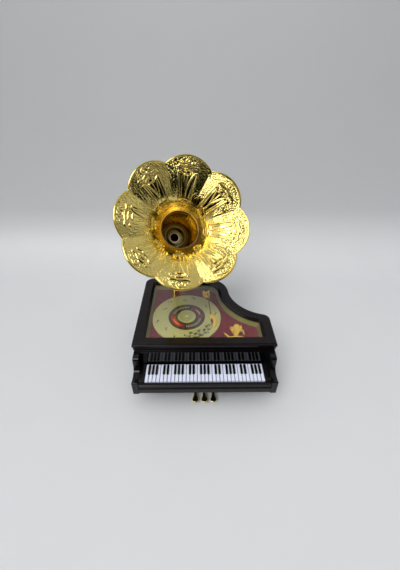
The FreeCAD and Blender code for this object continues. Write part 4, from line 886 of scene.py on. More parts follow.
def make_white_keys():
    """The white keys side by side, and the strip that they are moulded on, painted darker as the shade
    between them.
    """
    lowest, highest = extent("white_keys")
    pitch = (highest.x - lowest.x) / WHITE_KEYS
    front, back = lowest.y, highest.y - WHITE_BACK
    width = pitch - settings().keys.slit / MM
    key = key_mesh(
        "white_keys_finished", width, front, back, lowest.z + WHITE_FOOT, highest.z, WHITE_TAPER, WHITE_SLOPE
    )
    soften(key, settings().keys.edge)
    grown(key, row_tree(), "moulded white ABS", {"Count": WHITE_KEYS, "Step": pitch * MM})
    key.data.transform(Matrix.Translation(place((lowest.x + pitch / 2, 0, 0))))
    finish_piece(smoothed(key), "moulded white ABS", "ivory_keys", "case", "white_keys")
    outline = corners(lowest.x, front + STRIP_SET_BACK, highest.x, back)
    strip = prism("white_key_strip", [outline], lowest.z, lowest.z + STRIP_HEIGHT)
    # The strip's darker colour is painted shade between the keys
    finish_piece(smoothed(strip), "shaded white ABS", "ivory_keys", "case")


def make_black_keys():
    """Short keys over the white ones, none where two groups meet."""
    lowest, highest = extent("black_keys")
    left, right = (end.x for end in extent("white_keys"))
    pitch = (right - left) / WHITE_KEYS
    key = key_mesh(
        "black_key", BLACK_WIDTH, lowest.y - BLACK_FRONT, highest.y - BLACK_BACK,
        lowest.z, highest.z - BLACK_TOP, BLACK_TAPER, BLACK_SLOPE,
    )
    soften(key, settings().keys.edge * BLACK_EDGE)
    places = [left + number * pitch for number in range(1, WHITE_KEYS) if number % OCTAVE not in GAPS]
    points = add_mesh("black_keys_finished", [(x, 0, 0) for x in places], [])
    keys = grown(points, scatter_tree(), "polished black ABS", {"Piece": key})
    bpy.data.objects.remove(key)
    finish_piece(smoothed(keys), "polished black ABS", "ebony_keys", "case", "black_keys")


class MUSICBOX_OT_keys(bpy.types.Operator):
    """Makes the white and the black keys"""
    bl_idname = "music_box.keys"
    bl_label = "Keys"

    def execute(self, context):
        make_white_keys()
        make_black_keys()
        return {"FINISHED"}


# Record

PLATE_HEIGHT = 1.5
PLATE_EDGE = 0.5
BORE_RADIUS = 1.61
BORE_EDGE = 0.2
GROOVES = 9
GROOVE_START = 1.4
GROOVE_STEP = 0.28
GROOVE_HALF = 0.12
GROOVE_DEPTH = 0.06
HUB_RADIUS = 10.4
HUB_EDGE = 0.35
HUB_FILLET = 0.3
HUB_GROOVE = (7.28, 6.08)
HUB_GROOVE_DEPTH = 0.5
HUB_GROOVE_EDGE = 0.15
HUB_GROOVE_SLANT = 0.1
LABEL_BORE = 10.7
# Printed arcs, and olive rings on the hub that are painted shade of its ring grooves: piece, ink, the node
# under it, layers of ink below, and each arc's radii, angles and steps
PRINTED_ARCS = (
    ("label_accents", "brown-red print", "record_label", 0, (
        (12.4, 18.9, 168, 264, 24), (12.4, 18.9, -6, 70, 24), (20.2, 20.6, 0, 360, 96),
    )),
    ("glow_low", "red print", "record_label", 1, ((13.4, 17.4, 184, 250, 24),)),
    ("streak_low", "orange print", "record_label", 2, ((15.0, 16.0, 196, 236, 24),)),
    # Olive rings over the hub's grooves: painted shade
    ("hub_rings", "olive print", "turntable_disc", 0, ((6.9, 7.25, 0, 360, 72), (4.2, 4.5, 0, 360, 72))),
    ("streak_high", "pale print", "record_label", 1, ((15.3, 16.2, 14, 48, 24),)),
)
# Rows of ticks in degrees, and a tick's radii and width in degrees
TICK_ROWS = ((82, 166), (-90, -8))
TICKS = 12
TICK = (14.8, 17.4, 0, 1.7)
# Rings of notes: share of the record's radius, first angle and scale
NOTE_RINGS = ((0.84, 6, 1.0), (0.73, 34, 0.9))
NOTE_SCATTER = 0.16
NOTE_SEED = 5
# A note's head and stem, the flatness of its head, and its flag as shares of both
NOTE = (1.35, 3.9)
NOTE_OVAL = 0.72
NOTE_STEM = 0.6
NOTE_FLAG = ((1, 1), (1, 0.7), (1.6, 0.58), (2.1, 0.36), (2.1, 0.68))
# The stave: radii of its lines, their width and angles, its notes as angle, radius and stem, and its beam
STAVE_LINES = (24.6, 27.4, 30.2, 33.0)
STAVE_WIDTH = 0.45
STAVE_ANGLES = (-84, -22)
STAVE_NOTES = ((-79, 26.6, 6.2), (-69, 28.8, 6.0), (-58, 26.8, 7.4), (-47, 29.4, 5.4), (-35, 27.6, 6.6))
STAVE_HEAD = 2.0
BEAM = (33.6, 35.0, -78, -56)


def settle(piece):
    """Moves a piece made about the upright axis to the record's middle."""
    lowest, highest = extent("turntable_disc")
    middle = place(((lowest.x + highest.x) / 2, (lowest.y + highest.y) / 2, 0))
    piece.data.transform(Matrix.Translation(middle))
    return smoothed(piece)


def make_record():
    """A flat disc with a rounded rim, fine grooves inside it, a hub and a ring groove in the hub."""
    lowest, highest = extent("turntable_disc")
    radius = (highest.x - lowest.x) / 2
    bottom, hub_top = lowest.z, highest.z
    top = bottom + PLATE_HEIGHT
    edge, hub, bore = PLATE_EDGE, HUB_RADIUS, BORE_RADIUS
    profile = [(bore, bottom)]
    profile += corner(radius, bottom, (-edge, 0), (0, edge), 4)
    profile += corner(radius, top, (0, -edge), (-edge, 0), 4)
    for number in range(GROOVES):
        middle = radius - GROOVE_START - number * GROOVE_STEP
        profile += [(middle + GROOVE_HALF, top), (middle, top - GROOVE_DEPTH), (middle - GROOVE_HALF, top)]
    profile += [(hub + HUB_EDGE, top)]
    profile += corner(hub, top, (HUB_FILLET, 0), (0, HUB_FILLET), 3)
    profile += corner(hub, hub_top, (0, -HUB_EDGE), (-HUB_EDGE, 0), 4)
    outer, inner = HUB_GROOVE
    soft, slant, low = HUB_GROOVE_EDGE, HUB_GROOVE_SLANT, hub_top - HUB_GROOVE_DEPTH
    profile += [(outer + soft, hub_top), (outer, hub_top - soft), (outer - slant, low)]
    profile += [(inner + slant, low), (inner, hub_top - soft), (inner - soft, hub_top)]
    profile += [(bore + BORE_EDGE, hub_top), (bore, hub_top - BORE_EDGE)]
    centre = ((lowest.x + highest.x) / 2, (lowest.y + highest.y) / 2)
    record = smoothed(lathe("record_finished", profile, 180, centre=centre), 50)
    finish_piece(record, "cream enamel", "cream_disc", "turntable", "turntable_disc")


def make_label():
    """The paper ring with its red arcs, thin outlines and rows of plain ticks, and olive rings on the hub
    that paint the shade of its ring grooves.
    """
    lowest, highest = extent("record_label")
    radius = (highest.x - lowest.x) / 2
    paper = settle(sector("label_finished", LABEL_BORE, radius, 0, 360, lowest.z, highest.z, 120))
    finish_piece(paper, "dark label paper", "dark_label", "turntable", "record_label")
    for name, coat, node, layer, arcs in PRINTED_ARCS:
        level = extent(node)[1].z + layer * INK
        pieces = [sector(name, *arc[:4], level, level + INK, arc[4]) for arc in arcs]
        slot = "dark_label" if node == "record_label" else "cream_disc"
        finish_piece(settle(joined(name, pieces)), coat, slot, "turntable")
    rows = []
    for start, end in TICK_ROWS:
        tick = sector("tick", *TICK, highest.z, highest.z + INK, 1)
        rows.append(grown(tick, ring_tree(), "pale print", {
            "Count": TICKS, "Start": math.radians(start), "Sweep": math.radians(end - start),
        }))
    finish_piece(settle(joined("label_ticks", rows)), "pale print", "dark_label", "turntable")


def note_mesh(name, head, stem, bottom):
    """A printed note: an oval head, a stem and a short flag, about its own middle."""
    turns = [2 * math.pi * step / 14 for step in range(14)]
    oval = [(head * math.cos(turn), head * NOTE_OVAL * math.sin(turn)) for turn in turns]
    bar = corners(head * NOTE_STEM, 0, head, stem)
    flag = [(head * x, stem * y) for x, y in NOTE_FLAG]
    return prism(name, [oval, bar, flag], bottom, bottom + INK, placed=False)


def make_marks():
    """Small notes printed round the record, and a short stave with notes at the lower right."""
    lowest, highest = extent("turntable_disc")
    top = lowest.z + PLATE_HEIGHT
    radius = (highest.x - lowest.x) / 2
    pieces = []
    for number, (reach, start, scale) in enumerate(NOTE_RINGS):
        note = note_mesh("note", NOTE[0] * scale, NOTE[1] * scale, top)
        note.data.transform(Matrix.Translation(Vector((radius * reach * MM, 0, 0))))
        pieces.append(grown(note, ring_tree(), "dark print", {
            "Count": settings().record.marks // len(NOTE_RINGS), "Start": math.radians(start),
            "Sweep": 2 * math.pi, "Scatter": NOTE_SCATTER, "Seed": NOTE_SEED + number,
        }))
    for reach in STAVE_LINES:
        pieces.append(sector("stave", reach, reach + STAVE_WIDTH, *STAVE_ANGLES, top, top + INK, 20))
    for turn, reach, stem in STAVE_NOTES:
        note = note_mesh("stave_note", STAVE_HEAD, stem, top + INK)
        spot = Matrix.Rotation(math.radians(turn), 4, "Z") @ Matrix.Translation(Vector((reach * MM, 0, 0)))
        note.data.transform(spot @ Matrix.Rotation(math.radians(-90), 4, "Z"))
        pieces.append(note)
    pieces.append(sector("beam", *BEAM, top + INK, top + 2 * INK, 8))
    finish_piece(settle(joined("record_marks", pieces)), "dark print", "cream_disc", "turntable")


class MUSICBOX_OT_record(bpy.types.Operator):
    """Makes the turning record with its label and printed marks"""
    bl_idname = "music_box.record"
    bl_label = "Record"

    def execute(self, context):
        make_record()
        make_label()
        make_marks()
        return {"FINISHED"}


# Gold ornaments under the window and the pedals

# The tonearm's turned tube, as shares of its length and radii
ARM_TURNINGS = (
    (0, 0.5), (0.02, 0.74), (0.05, 0.74), (0.05, 0.66), (0.2, 0.62), (0.21, 0.74), (0.24, 0.74), (0.25, 0.52),
    (0.9, 0.48), (0.9, 0.7), (0.93, 0.7), (0.94, 0.58), (0.98, 0.58), (1, 0.5),
)
ARM_RADIUS = 0.78
# Outlines in the plan of its head: the hook, the ridge on it, the shell, its lugs and the finger lift,
# and of a black block with ribs under it, a dark piece that paints the shade under the head
HOOK = (
    (8.2, 77.6), (10.6, 79.8), (13.2, 77.8), (15.0, 72.0),
    (15.1, 66.8), (13.9, 61.6), (11.8, 59.3), (9.8, 60.4),
    (9.5, 63.2), (10.6, 66.4), (10.8, 69.8), (9.8, 72.4), (8.0, 74.0),
)
RIDGE = (
    (13.4, 73.4), (14.1, 69.0), (13.6, 64.8), (12.2, 61.4),
    (11.6, 61.6), (12.6, 64.6), (13.1, 69.0), (12.6, 73.2),
)
SHELL = (7.5, 73.8, 10.9, 79.2)
LUGS = ((7.35, 74.9, 7.9, 75.9), (7.35, 77.0, 7.9, 78.0), (8.6, 79.0, 10.2, 82.1))
FINGER = ((10.7, 62.4), (9.2, 64.4), (9.5, 65.0), (11.2, 63.6))
SHADE_BLOCK = ((8.3, 72.6), (10.4, 71.8), (10.9, 68.4), (10.4, 65.4), (8.6, 66.4), (7.9, 69.4))
RIBS = (66.9, 68.4, 69.9, 71.4)
RIB = (8.2, 10.4, 0.6)
# The rose's petals, sepals and leaf: base, tip, half width, heights of both, roll in degrees, cup and point
ROSE = (
    ((34.0, 47.4), (37.4, 63.8), 4.2, (0.8, 3.0), 0, 0.4, 0),
    ((33.6, 47.6), (31.0, 60.6), 3.0, (0.9, 2.6), -28, 0.6, 0),
    ((35.6, 47.6), (41.6, 61.4), 2.6, (0.9, 3.2), 30, 0.6, 0),
    ((34.6, 50.0), (34.6, 63.0), 1.9, (2.0, 3.6), -35, 0.5, 0.5),
    ((36.0, 50.0), (38.6, 63.2), 1.7, (2.0, 3.6), 35, 0.5, 0.6),
    ((37.0, 52.0), (42.6, 62.6), 1.2, (2.2, 3.4), -30, 0.4, 0.8),
    ((34.0, 47.6), (33.2, 58.6), 2.9, (1.6, 2.9), -24, 0.9, 0),
    ((35.2, 47.4), (37.0, 57.4), 3.0, (1.8, 3.1), 22, 0.9, 0),
    ((38.4, 53.6), (44.0, 55.0), 1.5, (2.6, 2.4), -25, 0.7, 0.3),
    ((42.6, 55.6), (44.2, 50.2), 1.1, (2.3, 0.7), 20, 0.5, 0.3),
    ((35.0, 47.0), (44.4, 46.0), 1.2, (1.6, 0.8), 20, 0.3, 0.5),
    ((34.6, 47.4), (38.6, 50.2), 1.3, (1.8, 2.3), 10, 0.3, 0.5),
    ((27.6, 45.6), (22.0, 51.4), 1.9, (0.7, 1.5), -22, 0.5, 0.4),
)
PETAL_GRID = (14, 12)
PETAL_THICKNESS = 0.4
PETAL_CLEARANCE = 0.2
# The rose's stem, with heights above the deck
STEM = ((35.0, 47.2, 1.5), (30.0, 46.6, 0.8), (22.8, 45.6, 0.8))
STEM_STEPS = 12
# A pedal's outline from its root to its tip, as half widths and steps from its back or its front
PEDAL_WIDER = 0.6
PEDAL_LONGER = 3.2
PEDAL_ROOT = ((1.6, 0), (1.6, -6.5))


def make_tonearm_base():
    """A plate with two tall rails, a bridge between them and a turned pivot."""
    lowest, highest = extent("tonearm_base")
    x0, y0, z0 = lowest
    x1, y1, z1 = highest
    middle = (y0 + y1) / 2
    rail = (x1 - x0) * 0.27
    pivot = (extent("tonearm_tube")[0].x + 0.8, y1 - 6.0)
    base = joined("tonearm_base_finished", [
        pad("plate", [corners(x0, y0, x1, y1)], z0, z0 + 1.1, 0.25),
        pad("rails", [
            corners(x0 + 0.3, y0 + 0.6, x0 + 0.3 + rail, y1 - 0.4),
            corners(x1 - 0.3 - rail, y0 + 2.6, x1 - 0.3, y1 - 0.4),
        ], z0, z1 - 0.3, 0.7, 4),
        pad("bridge", [corners(x0 + 1.2, middle - 0.4, x1 - 1.2, middle + 2.6)], z0, z0 + 2.0, 0.4),
        lathe("turret", [
            (0.02, z0 + 1), (2.1, z0 + 1), (2.1, z0 + 3.0), (1.8, z0 + 3.3), (1.4, z0 + 3.3),
            (1.4, z1 - 0.3), (1.1, z1), (0.5, z1), (0.4, z1 - 0.25), (0.02, z1 - 0.25),
        ], 32, centre=pivot),
    ])
    finish_piece(smoothed(base, 40), "gold-painted zinc", "plated_gold", "case", "tonearm_base")


def make_tonearm_tube():
    """The turned tube with its collars, from the pivot down to the head."""
    first, last = extent("tonearm_tube")
    level = (first.z + last.z) / 2
    top = Vector((first.x + ARM_RADIUS, last.y, level))
    end = Vector((last.x - ARM_RADIUS, first.y, level))
    spots, radii = zip(*((top.lerp(end, share), radius) for share, radius in ARM_TURNINGS))
    bar = tube("tonearm_tube_finished", spots, radii)
    # The darker plating is a painted reflection of the dark that the tube mirrors
    finish_piece(smoothed(bar, 40), "bronze-coloured plating", "plated_gold", "case", "tonearm_tube")


def make_tonearm_head():
    """The hooked shell over the record, with a black ribbed block under it that paints the shade under the
    head.
    """
    lowest, highest = extent("tonearm_head")
    low, high = lowest.z, highest.z
    left, right, rib = RIB
    # A black block under the head: painted shade
    shade_block = joined("tonearm_pickup", [
        pad("block", [SHADE_BLOCK], low - 0.05, low + 0.8, 0.2),
        pad("ribs", [corners(left, y, right, y + rib) for y in RIBS], low, low + 1.1, 0.12),
    ])
    finish_piece(smoothed(shade_block, 40), "moulded black ABS", "plated_gold", "case")
    head = joined("tonearm_head_finished", [
        pad("hook", [rounded_outline(HOOK)], low, high - 0.35, 0.35, 4),
        pad("ridge", [rounded_outline(RIDGE)], high - 0.5, high, 0.14),
        pad("shell", [corners(*SHELL)], low + 0.1, high, 0.45, 4),
        pad("lugs", [corners(*lug) for lug in LUGS], low + 0.2, high - 0.2, 0.25),
        pad("finger", [FINGER], low, low + 0.6, 0.15),
    ])
    finish_piece(smoothed(head, 40), "gold-painted zinc", "plated_gold", "case", "tonearm_head")


def petal_shell(base, tip, width, heights, roll, cup, pointed):
    """A thin leaf above the deck, with a slope across it and a hollow along its middle."""
    floor, roof = extent("velvet_deck")[1].z, extent("rose_ornament")[1].z
    rows, columns = PETAL_GRID
    base, tip = Vector(base), Vector(tip)
    side = Vector((tip.y - base.y, base.x - tip.x)).normalized()
    slope = math.tan(math.radians(roll))
    upper = []
    for row in range(rows + 1):
        share = row / rows
        full = math.sin(math.pi * (0.06 + 0.88 * share)) ** 0.7 * (0.6 + 0.6 * share)
        half = width * ((1 - pointed) * full + pointed * full * (1 - share ** 2))
        spine = base.lerp(tip, share)
        middle = heights[0] + (heights[1] - heights[0]) * share + 0.5 * math.sin(math.pi * share)
        for column in range(columns + 1):
            across = 2 * column / columns - 1
            spot = spine + side * across * half
            hollow = cup * (across ** 2 - 0.4) * full
            vein = 0.12 * (1 - min(1, abs(across) * 4)) + 0.1 * math.sin(across * 11 + share * 8)
            height = floor + middle + across * half * slope + hollow + vein
            upper.append((spot.x, spot.y, min(roof, max(floor + PETAL_CLEARANCE, height))))
    wide = columns + 1
    faces = [
        (a, a + 1, a + wide + 1, a + wide)
        for a in (row * wide + column for row in range(rows) for column in range(columns))
    ]
    under = len(upper)
    lower = [(x, y, max(floor, z - PETAL_THICKNESS)) for x, y, z in upper]
    faces += [tuple(under + i for i in reversed(face)) for face in faces]
    rim = list(range(wide)) + [row * wide + columns for row in range(1, rows)]
    rim += [rows * wide + columns - i for i in range(wide)] + [row * wide for row in range(rows - 1, 0, -1)]
    faces += [(a, under + a, under + b, b) for a, b in zip(rim, rim[1:] + rim[:1])]
    return cleaned(add_mesh("petal", upper + lower, faces))


def make_rose():
    """A half-open rose lying on the velvet: petals over one another, sepals, a stem and a leaf."""
    floor = extent("velvet_deck")[1].z
    shells = [petal_shell(*petal) for petal in ROSE]
    stem = bend(*((x, y, floor + z) for x, y, z in STEM), STEM_STEPS)
    shells.append(tube("stem", stem, [0.8 - 0.02 * i for i in range(STEM_STEPS + 1)]))
    rose = joined("rose_ornament_finished", shells)
    finish_piece(smoothed(rose, 50), "gold-painted zinc", "plated_gold", "case", "rose_ornament")


def make_pedal(node):
    """A flat lever with a drop-shaped foot plate."""
    lowest, highest = extent(node)
    middle, half = (lowest.x + highest.x) / 2, (highest.x - lowest.x) / 2 + PEDAL_WIDER
    front, back = lowest.y - PEDAL_LONGER, highest.y
    side = [(x, back + y) for x, y in PEDAL_ROOT]
    side += [(2.3, front + 6.4), (half, front + 3.6), (half * 0.8, front + 1.1)]
    outline = [(middle + x, y) for x, y in side] + [(middle, front)]
    outline += [(middle - x, y) for x, y in reversed(side)]
    plate = pad(f"{node}_finished", [rounded_outline(outline, 4)], lowest.z, highest.z, 0.45, 4)
    finish_piece(smoothed(plate, 50), "bright gold plating", "plated_gold", "case", node)


class MUSICBOX_OT_ornaments(bpy.types.Operator):
    """Makes the tonearm, the rose and the pedals"""
    bl_idname = "music_box.ornaments"
    bl_label = "Tonearm, rose and pedals"

    def execute(self, context):
        make_tonearm_base()
        make_tonearm_tube()
        make_tonearm_head()
        make_rose()
        for node in ("left_pedal", "middle_pedal", "right_pedal"):
            make_pedal(node)
        return {"FINISHED"}


# Horn

HORN_TURN = math.radians(15.6)
HORN_LEAN = math.radians(38.3)
HORN_MOUTH = Vector((-19.2, 99.4, 168.7))
# Reach of the bell's lobed rim at a petal's tip and between two petals, and how far back its creases lie
PETAL_TIP = 69.4
PETAL_NOTCH = 63.5
PETAL_CREASE = 4.7
# The bell's curve from its throat to its rim: depth, share that is a plain cone and power of the rest
THROAT = 21.3
BELL_DEPTH = 34.0
BELL_CONE = 0.52
BELL_CURVE = 3.8
BELL_WALL = 1.2
# How far the ground lies behind the ornament, and the length of a petal's middle line
GROUND_DROP = 0.5
MERIDIAN = 60.0
# The petal's grid
FRONT_COLUMNS = 128
FRONT_ROWS = 138
RIM_ROWS = 7
RIM_SHARE = 0.965
BACK_ROWS = 12
# Height of the ripple on the stippled ground
RIPPLE = 0.034
# Share of the way to the rim where the throat's warmer gold, a painted reflection, ends
THROAT_REFLECTION_END = 0.34
# The funnel: radii at its back, the depths of its curve and its flutes
FUNNEL_BACK = (6.6, 7.8)
FUNNEL_START = 38.0
FUNNEL_END = 84.0
FUNNEL_CURVE = 1.5
FUNNEL_ROWS = 40
FLUTES = 32
FLUTE_STEPS = 6
FLUTE_DEPTH = 0.3
LIP = ((0.05, 3.6), (0.25, 1.6), (1.0, 0.1))
LIP_STEPS = 6
# The washer in the neck's front end, as radii and depths
WASHER = ((5.3, 80.0), (5.2, 78.3), (5.5, 78.0), (6.5, 78.0), (6.8, 78.3), (6.5, 80.0))
# Ridges of one half of a petal: half width, height and points, each as millimetres
# from the petal's middle line and share of the way from the throat to the rim
PANEL_RIDGES = (
    (1.15, 0.85, ((0, 0.205), (6.0, 0.205), (9.9, 0.70))),
    (0.75, 0.60, ((3.9, 0.235), (7.4, 0.665))),
)
VASE_RIDGES = (
    (1.00, 0.90, ((0, 0.22), (0, 0.36))),
    (1.15, 1.10, ((0.5, 0.375), (2.3, 0.47), (4.2, 0.57), (5.5, 0.63), (7.0, 0.665), (8.9, 0.69))),
    (0.80, 0.75, ((0, 0.38), (0, 0.60))),
    (1.05, 1.05, ((0, 0.625), (3.4, 0.622))),
    (0.60, 0.65, ((2.6, 0.645), (4.2, 0.665), (4.8, 0.695))),
    (1.05, 1.00, ((0, 0.715), (3.6, 0.712))),
)
CROWN_RIDGES = (
    (1.60, 1.15, ((0, 0.785), (3.0, 0.778), (6.2, 0.772), (8.6, 0.787), (10.2, 0.805))),
    (1.00, 0.85, ((10.2, 0.805), (11.2, 0.797), (11.0, 0.780), (10.2, 0.778))),
    (0.60, 0.50, ((4.6, 0.742), (8.4, 0.752))),
    (0.80, 0.60, ((4.0, 0.838), (5.8, 0.826), (7.8, 0.830))),
    (0.70, 0.50, ((3.6, 0.915), (6.0, 0.918), (8.6, 0.902), (10.4, 0.870))),
)
# The sunk panel: shares of its ends, its half widths there and its depth, and how deep its ridges stand in it
PANEL_ENDS = (0.21, 0.70)
PANEL_HALVES = (6.0, 9.9)
PANEL_DEPTH = 0.55
PANEL_FOOT = 0.25
# Knobs by place, radius and height, and beads by place and radius, at the creases and in the throat
KNOBS = ((0, 0.362, 1.35, 1.0), (6.8, 0.652, 1.1, 0.8), (2.2, 0.680, 1.0, 0.6), (10.6, 0.79, 0.8, 0.9))
NOTCH_BEADS = ((0, 0.945, 1.8), (2.2, 0.928, 1.1), (0, 0.900, 1.2), (1.7, 0.965, 1.0), (0, 0.872, 0.8))
THROAT_BEADS = ((0, 0, 1.2), (2.0, 0, 0.9), (0, 1.5, 0.7), (0, -1.5, 0.7), (1.7, 1.2, 0.5), (1.7, -1.2, 0.5))
NOTCH_BEAD_HEIGHT = 0.8
THROAT_BEAD_HEIGHT = 0.3
# An oval line round the beads in the throat
OVAL_PLACE = 0.118
OVAL_RADII = (3.9, 2.7)
# The rosette of five leaves, and the scroll beside it
ROSETTE = 0.868
ROSETTE_RADIUS = 3.7
SCROLL = (6.9, 0.856, 2.1)
SCROLL_TURNS = 0.95
# Shares between which the stippled ground starts and ends, and the rim's bead
GROUND_START = (0.22, 0.36)
GROUND_END = (0.95, 0.967)
RIM_BEAD = 0.978


def horn_axes():
    """The matrix from the horn's own axes, with its mouth at the origin and Z out of it, to the frame."""
    level = Vector((math.sin(HORN_TURN), -math.cos(HORN_TURN), 0))
    out = level * math.cos(HORN_LEAN) + Vector((0, 0, math.sin(HORN_LEAN)))
    right = Vector((math.cos(HORN_TURN), math.sin(HORN_TURN), 0))
    turn = Matrix((right, out.cross(right), out)).transposed().to_4x4()
    return Matrix.Translation(place(HORN_MOUTH)) @ turn


def lobe(tip, notch, angle, petals):
    """The reach of a lobed outline at an angle from a petal's middle."""
    inner = notch * math.cos(math.pi / petals)
    centre = (tip ** 2 - notch ** 2) / (2 * (tip - inner))
    radius = tip - centre
    return centre * np.cos(angle) + np.sqrt(radius ** 2 - (centre * np.sin(angle)) ** 2)


def petal_points(across, share, wall, petals):
    """Points of one petal about angle 0, at a depth behind its skin.

    Across runs from -1 to 1, and share from the throat to the rim."""
    angle = across * math.pi / petals
    flare = PETAL_TIP - THROAT
    behind = 1 - share
    depth = BELL_DEPTH * (BELL_CONE * behind + (1 - BELL_CONE) * behind ** BELL_CURVE)
    slope = BELL_DEPTH * (BELL_CONE + (1 - BELL_CONE) * BELL_CURVE * behind ** (BELL_CURVE - 1)) / flare
    crease = PETAL_CREASE * (1 - behind ** 2) * across ** 2
    length = np.hypot(1, slope)
    outwards = wall * slope / length
    tip = THROAT + flare * share + outwards
    notch = THROAT + (PETAL_NOTCH - THROAT) * share + outwards
    reach = lobe(tip, notch, angle, petals)
    down = depth + crease + wall / length
    return np.stack([reach * np.cos(angle), reach * np.sin(angle), -down], axis=-1)


def near(x, y, path):
    """The distance of grid points to a path of straight runs."""
    least = np.full(x.shape, np.inf)
    for (ax, ay), (bx, by) in zip(path[:-1], path[1:]):
        dx, dy = bx - ax, by - ay
        along = np.clip(((x - ax) * dx + (y - ay) * dy) / (dx * dx + dy * dy), 0, 1)
        least = np.minimum(least, np.hypot(x - ax - along * dx, y - ay - along * dy))
    return least


def ridge(distance, width, height):
    """A round-topped ridge."""
    return height * np.clip(1 - (distance / width) ** 2, 0, 1) ** 0.75


def dome(x, y, radius, height):
    """A round boss about the origin."""
    return ridge(np.hypot(x, y), radius, height)


def ease(value, start, end):
    """A smooth rise from 0 at the start to 1 at the end."""
    t = np.clip((value - start) / (end - start), 0, 1)
    return t * t * (3 - 2 * t)


def curl(cx, cy, radius, start, turns, steps=18):
    """Points of a spiral that winds in towards its middle."""
    points = []
    for step in range(steps + 1):
        t = step / steps
        turn = start + turns * 2 * math.pi * t
        reach = radius * (1 - 0.7 * t)
        points.append((cx + reach * math.cos(turn), cy + reach * math.sin(turn)))
    return points


def petal_relief(x, y, across):
    """Height of the stamped ornament and share of stippled ground at points of a petal.

    x is millimetres from the petal's middle line, always positive, and y is millimetres from the throat."""
    low, high = (end * MERIDIAN for end in PANEL_ENDS)
    half = np.interp(y, (low, high), PANEL_HALVES)
    inside = ease(half - x, 0, 0.9) * ease(y, low, low + 1.0) * (1 - ease(y, high - 1.0, high))
    forms = [-PANEL_DEPTH * inside]
    for width, top, path in PANEL_RIDGES + VASE_RIDGES + CROWN_RIDGES:
        run = near(x, y, [(px, py * MERIDIAN) for px, py in path])
        forms.append(ridge(run, width, top) - PANEL_FOOT * inside)
    forms += [dome(x - px, y - py * MERIDIAN, radius, top) for px, py, radius, top in KNOBS]
    rose_y = y - ROSETTE * MERIDIAN
    reach = np.hypot(x, rose_y)
    leaves = ROSETTE_RADIUS + 0.45 * np.cos(5 * np.arctan2(rose_y, x))
    forms.append(0.55 * ease(leaves - reach, 0, 0.7) - 0.5 * ease(1.1 - np.abs(reach - 1.9), 0.2, 1.1))
    forms.append(ridge(np.abs(reach - ROSETTE_RADIUS + 0.3), 0.85, 0.85))
    forms.append(dome(x, rose_y, 1.1, 0.9))
    scroll_x, scroll_y, scroll_radius = SCROLL
    scroll = curl(scroll_x, scroll_y * MERIDIAN, scroll_radius, -math.pi / 2, SCROLL_TURNS)
    forms.append(ridge(near(x, y, scroll), 0.75, 0.7))
    oval_y = y - OVAL_PLACE * MERIDIAN
    oval = np.abs(np.hypot(x / OVAL_RADII[0], oval_y / OVAL_RADII[1]) - 1) * 3.0
    forms.append(ridge(oval, 0.7, 0.4))
    forms += [dome(x - px, oval_y - py, radius, THROAT_BEAD_HEIGHT) for px, py, radius in THROAT_BEADS]
    width = x / np.maximum(np.abs(across), 1e-6)
    from_crease = (1 - np.abs(across)) * np.maximum(width, 1)
    forms += [
        dome(from_crease - away, y - py * MERIDIAN, radius, NOTCH_BEAD_HEIGHT)
        for away, py, radius in NOTCH_BEADS
    ]
    height = np.maximum.reduce(forms)
    starts, ends = (ease(y, first * MERIDIAN, last * MERIDIAN) for first, last in (GROUND_START, GROUND_END))
    ground = (1 - inside) * starts * (1 - ends) * (1 - ease(height, 0.1, 0.35)) * ease(from_crease, 0.1, 0.6)
    return np.maximum(height, ridge(np.abs(y - RIM_BEAD * MERIDIAN), 1.35, 1.1)), ground


def grid_faces(first, rows, columns, turned):
    """Faces of a grid of points, with its own way round or turned."""
    wide = columns + 1
    faces = []
    for row in range(rows):
        for column in range(columns):
            a = first + row * wide + column
            b = a + wide
            faces.append((a, b, b + 1, a + 1) if turned else (a, a + 1, b + 1, b))
    return faces


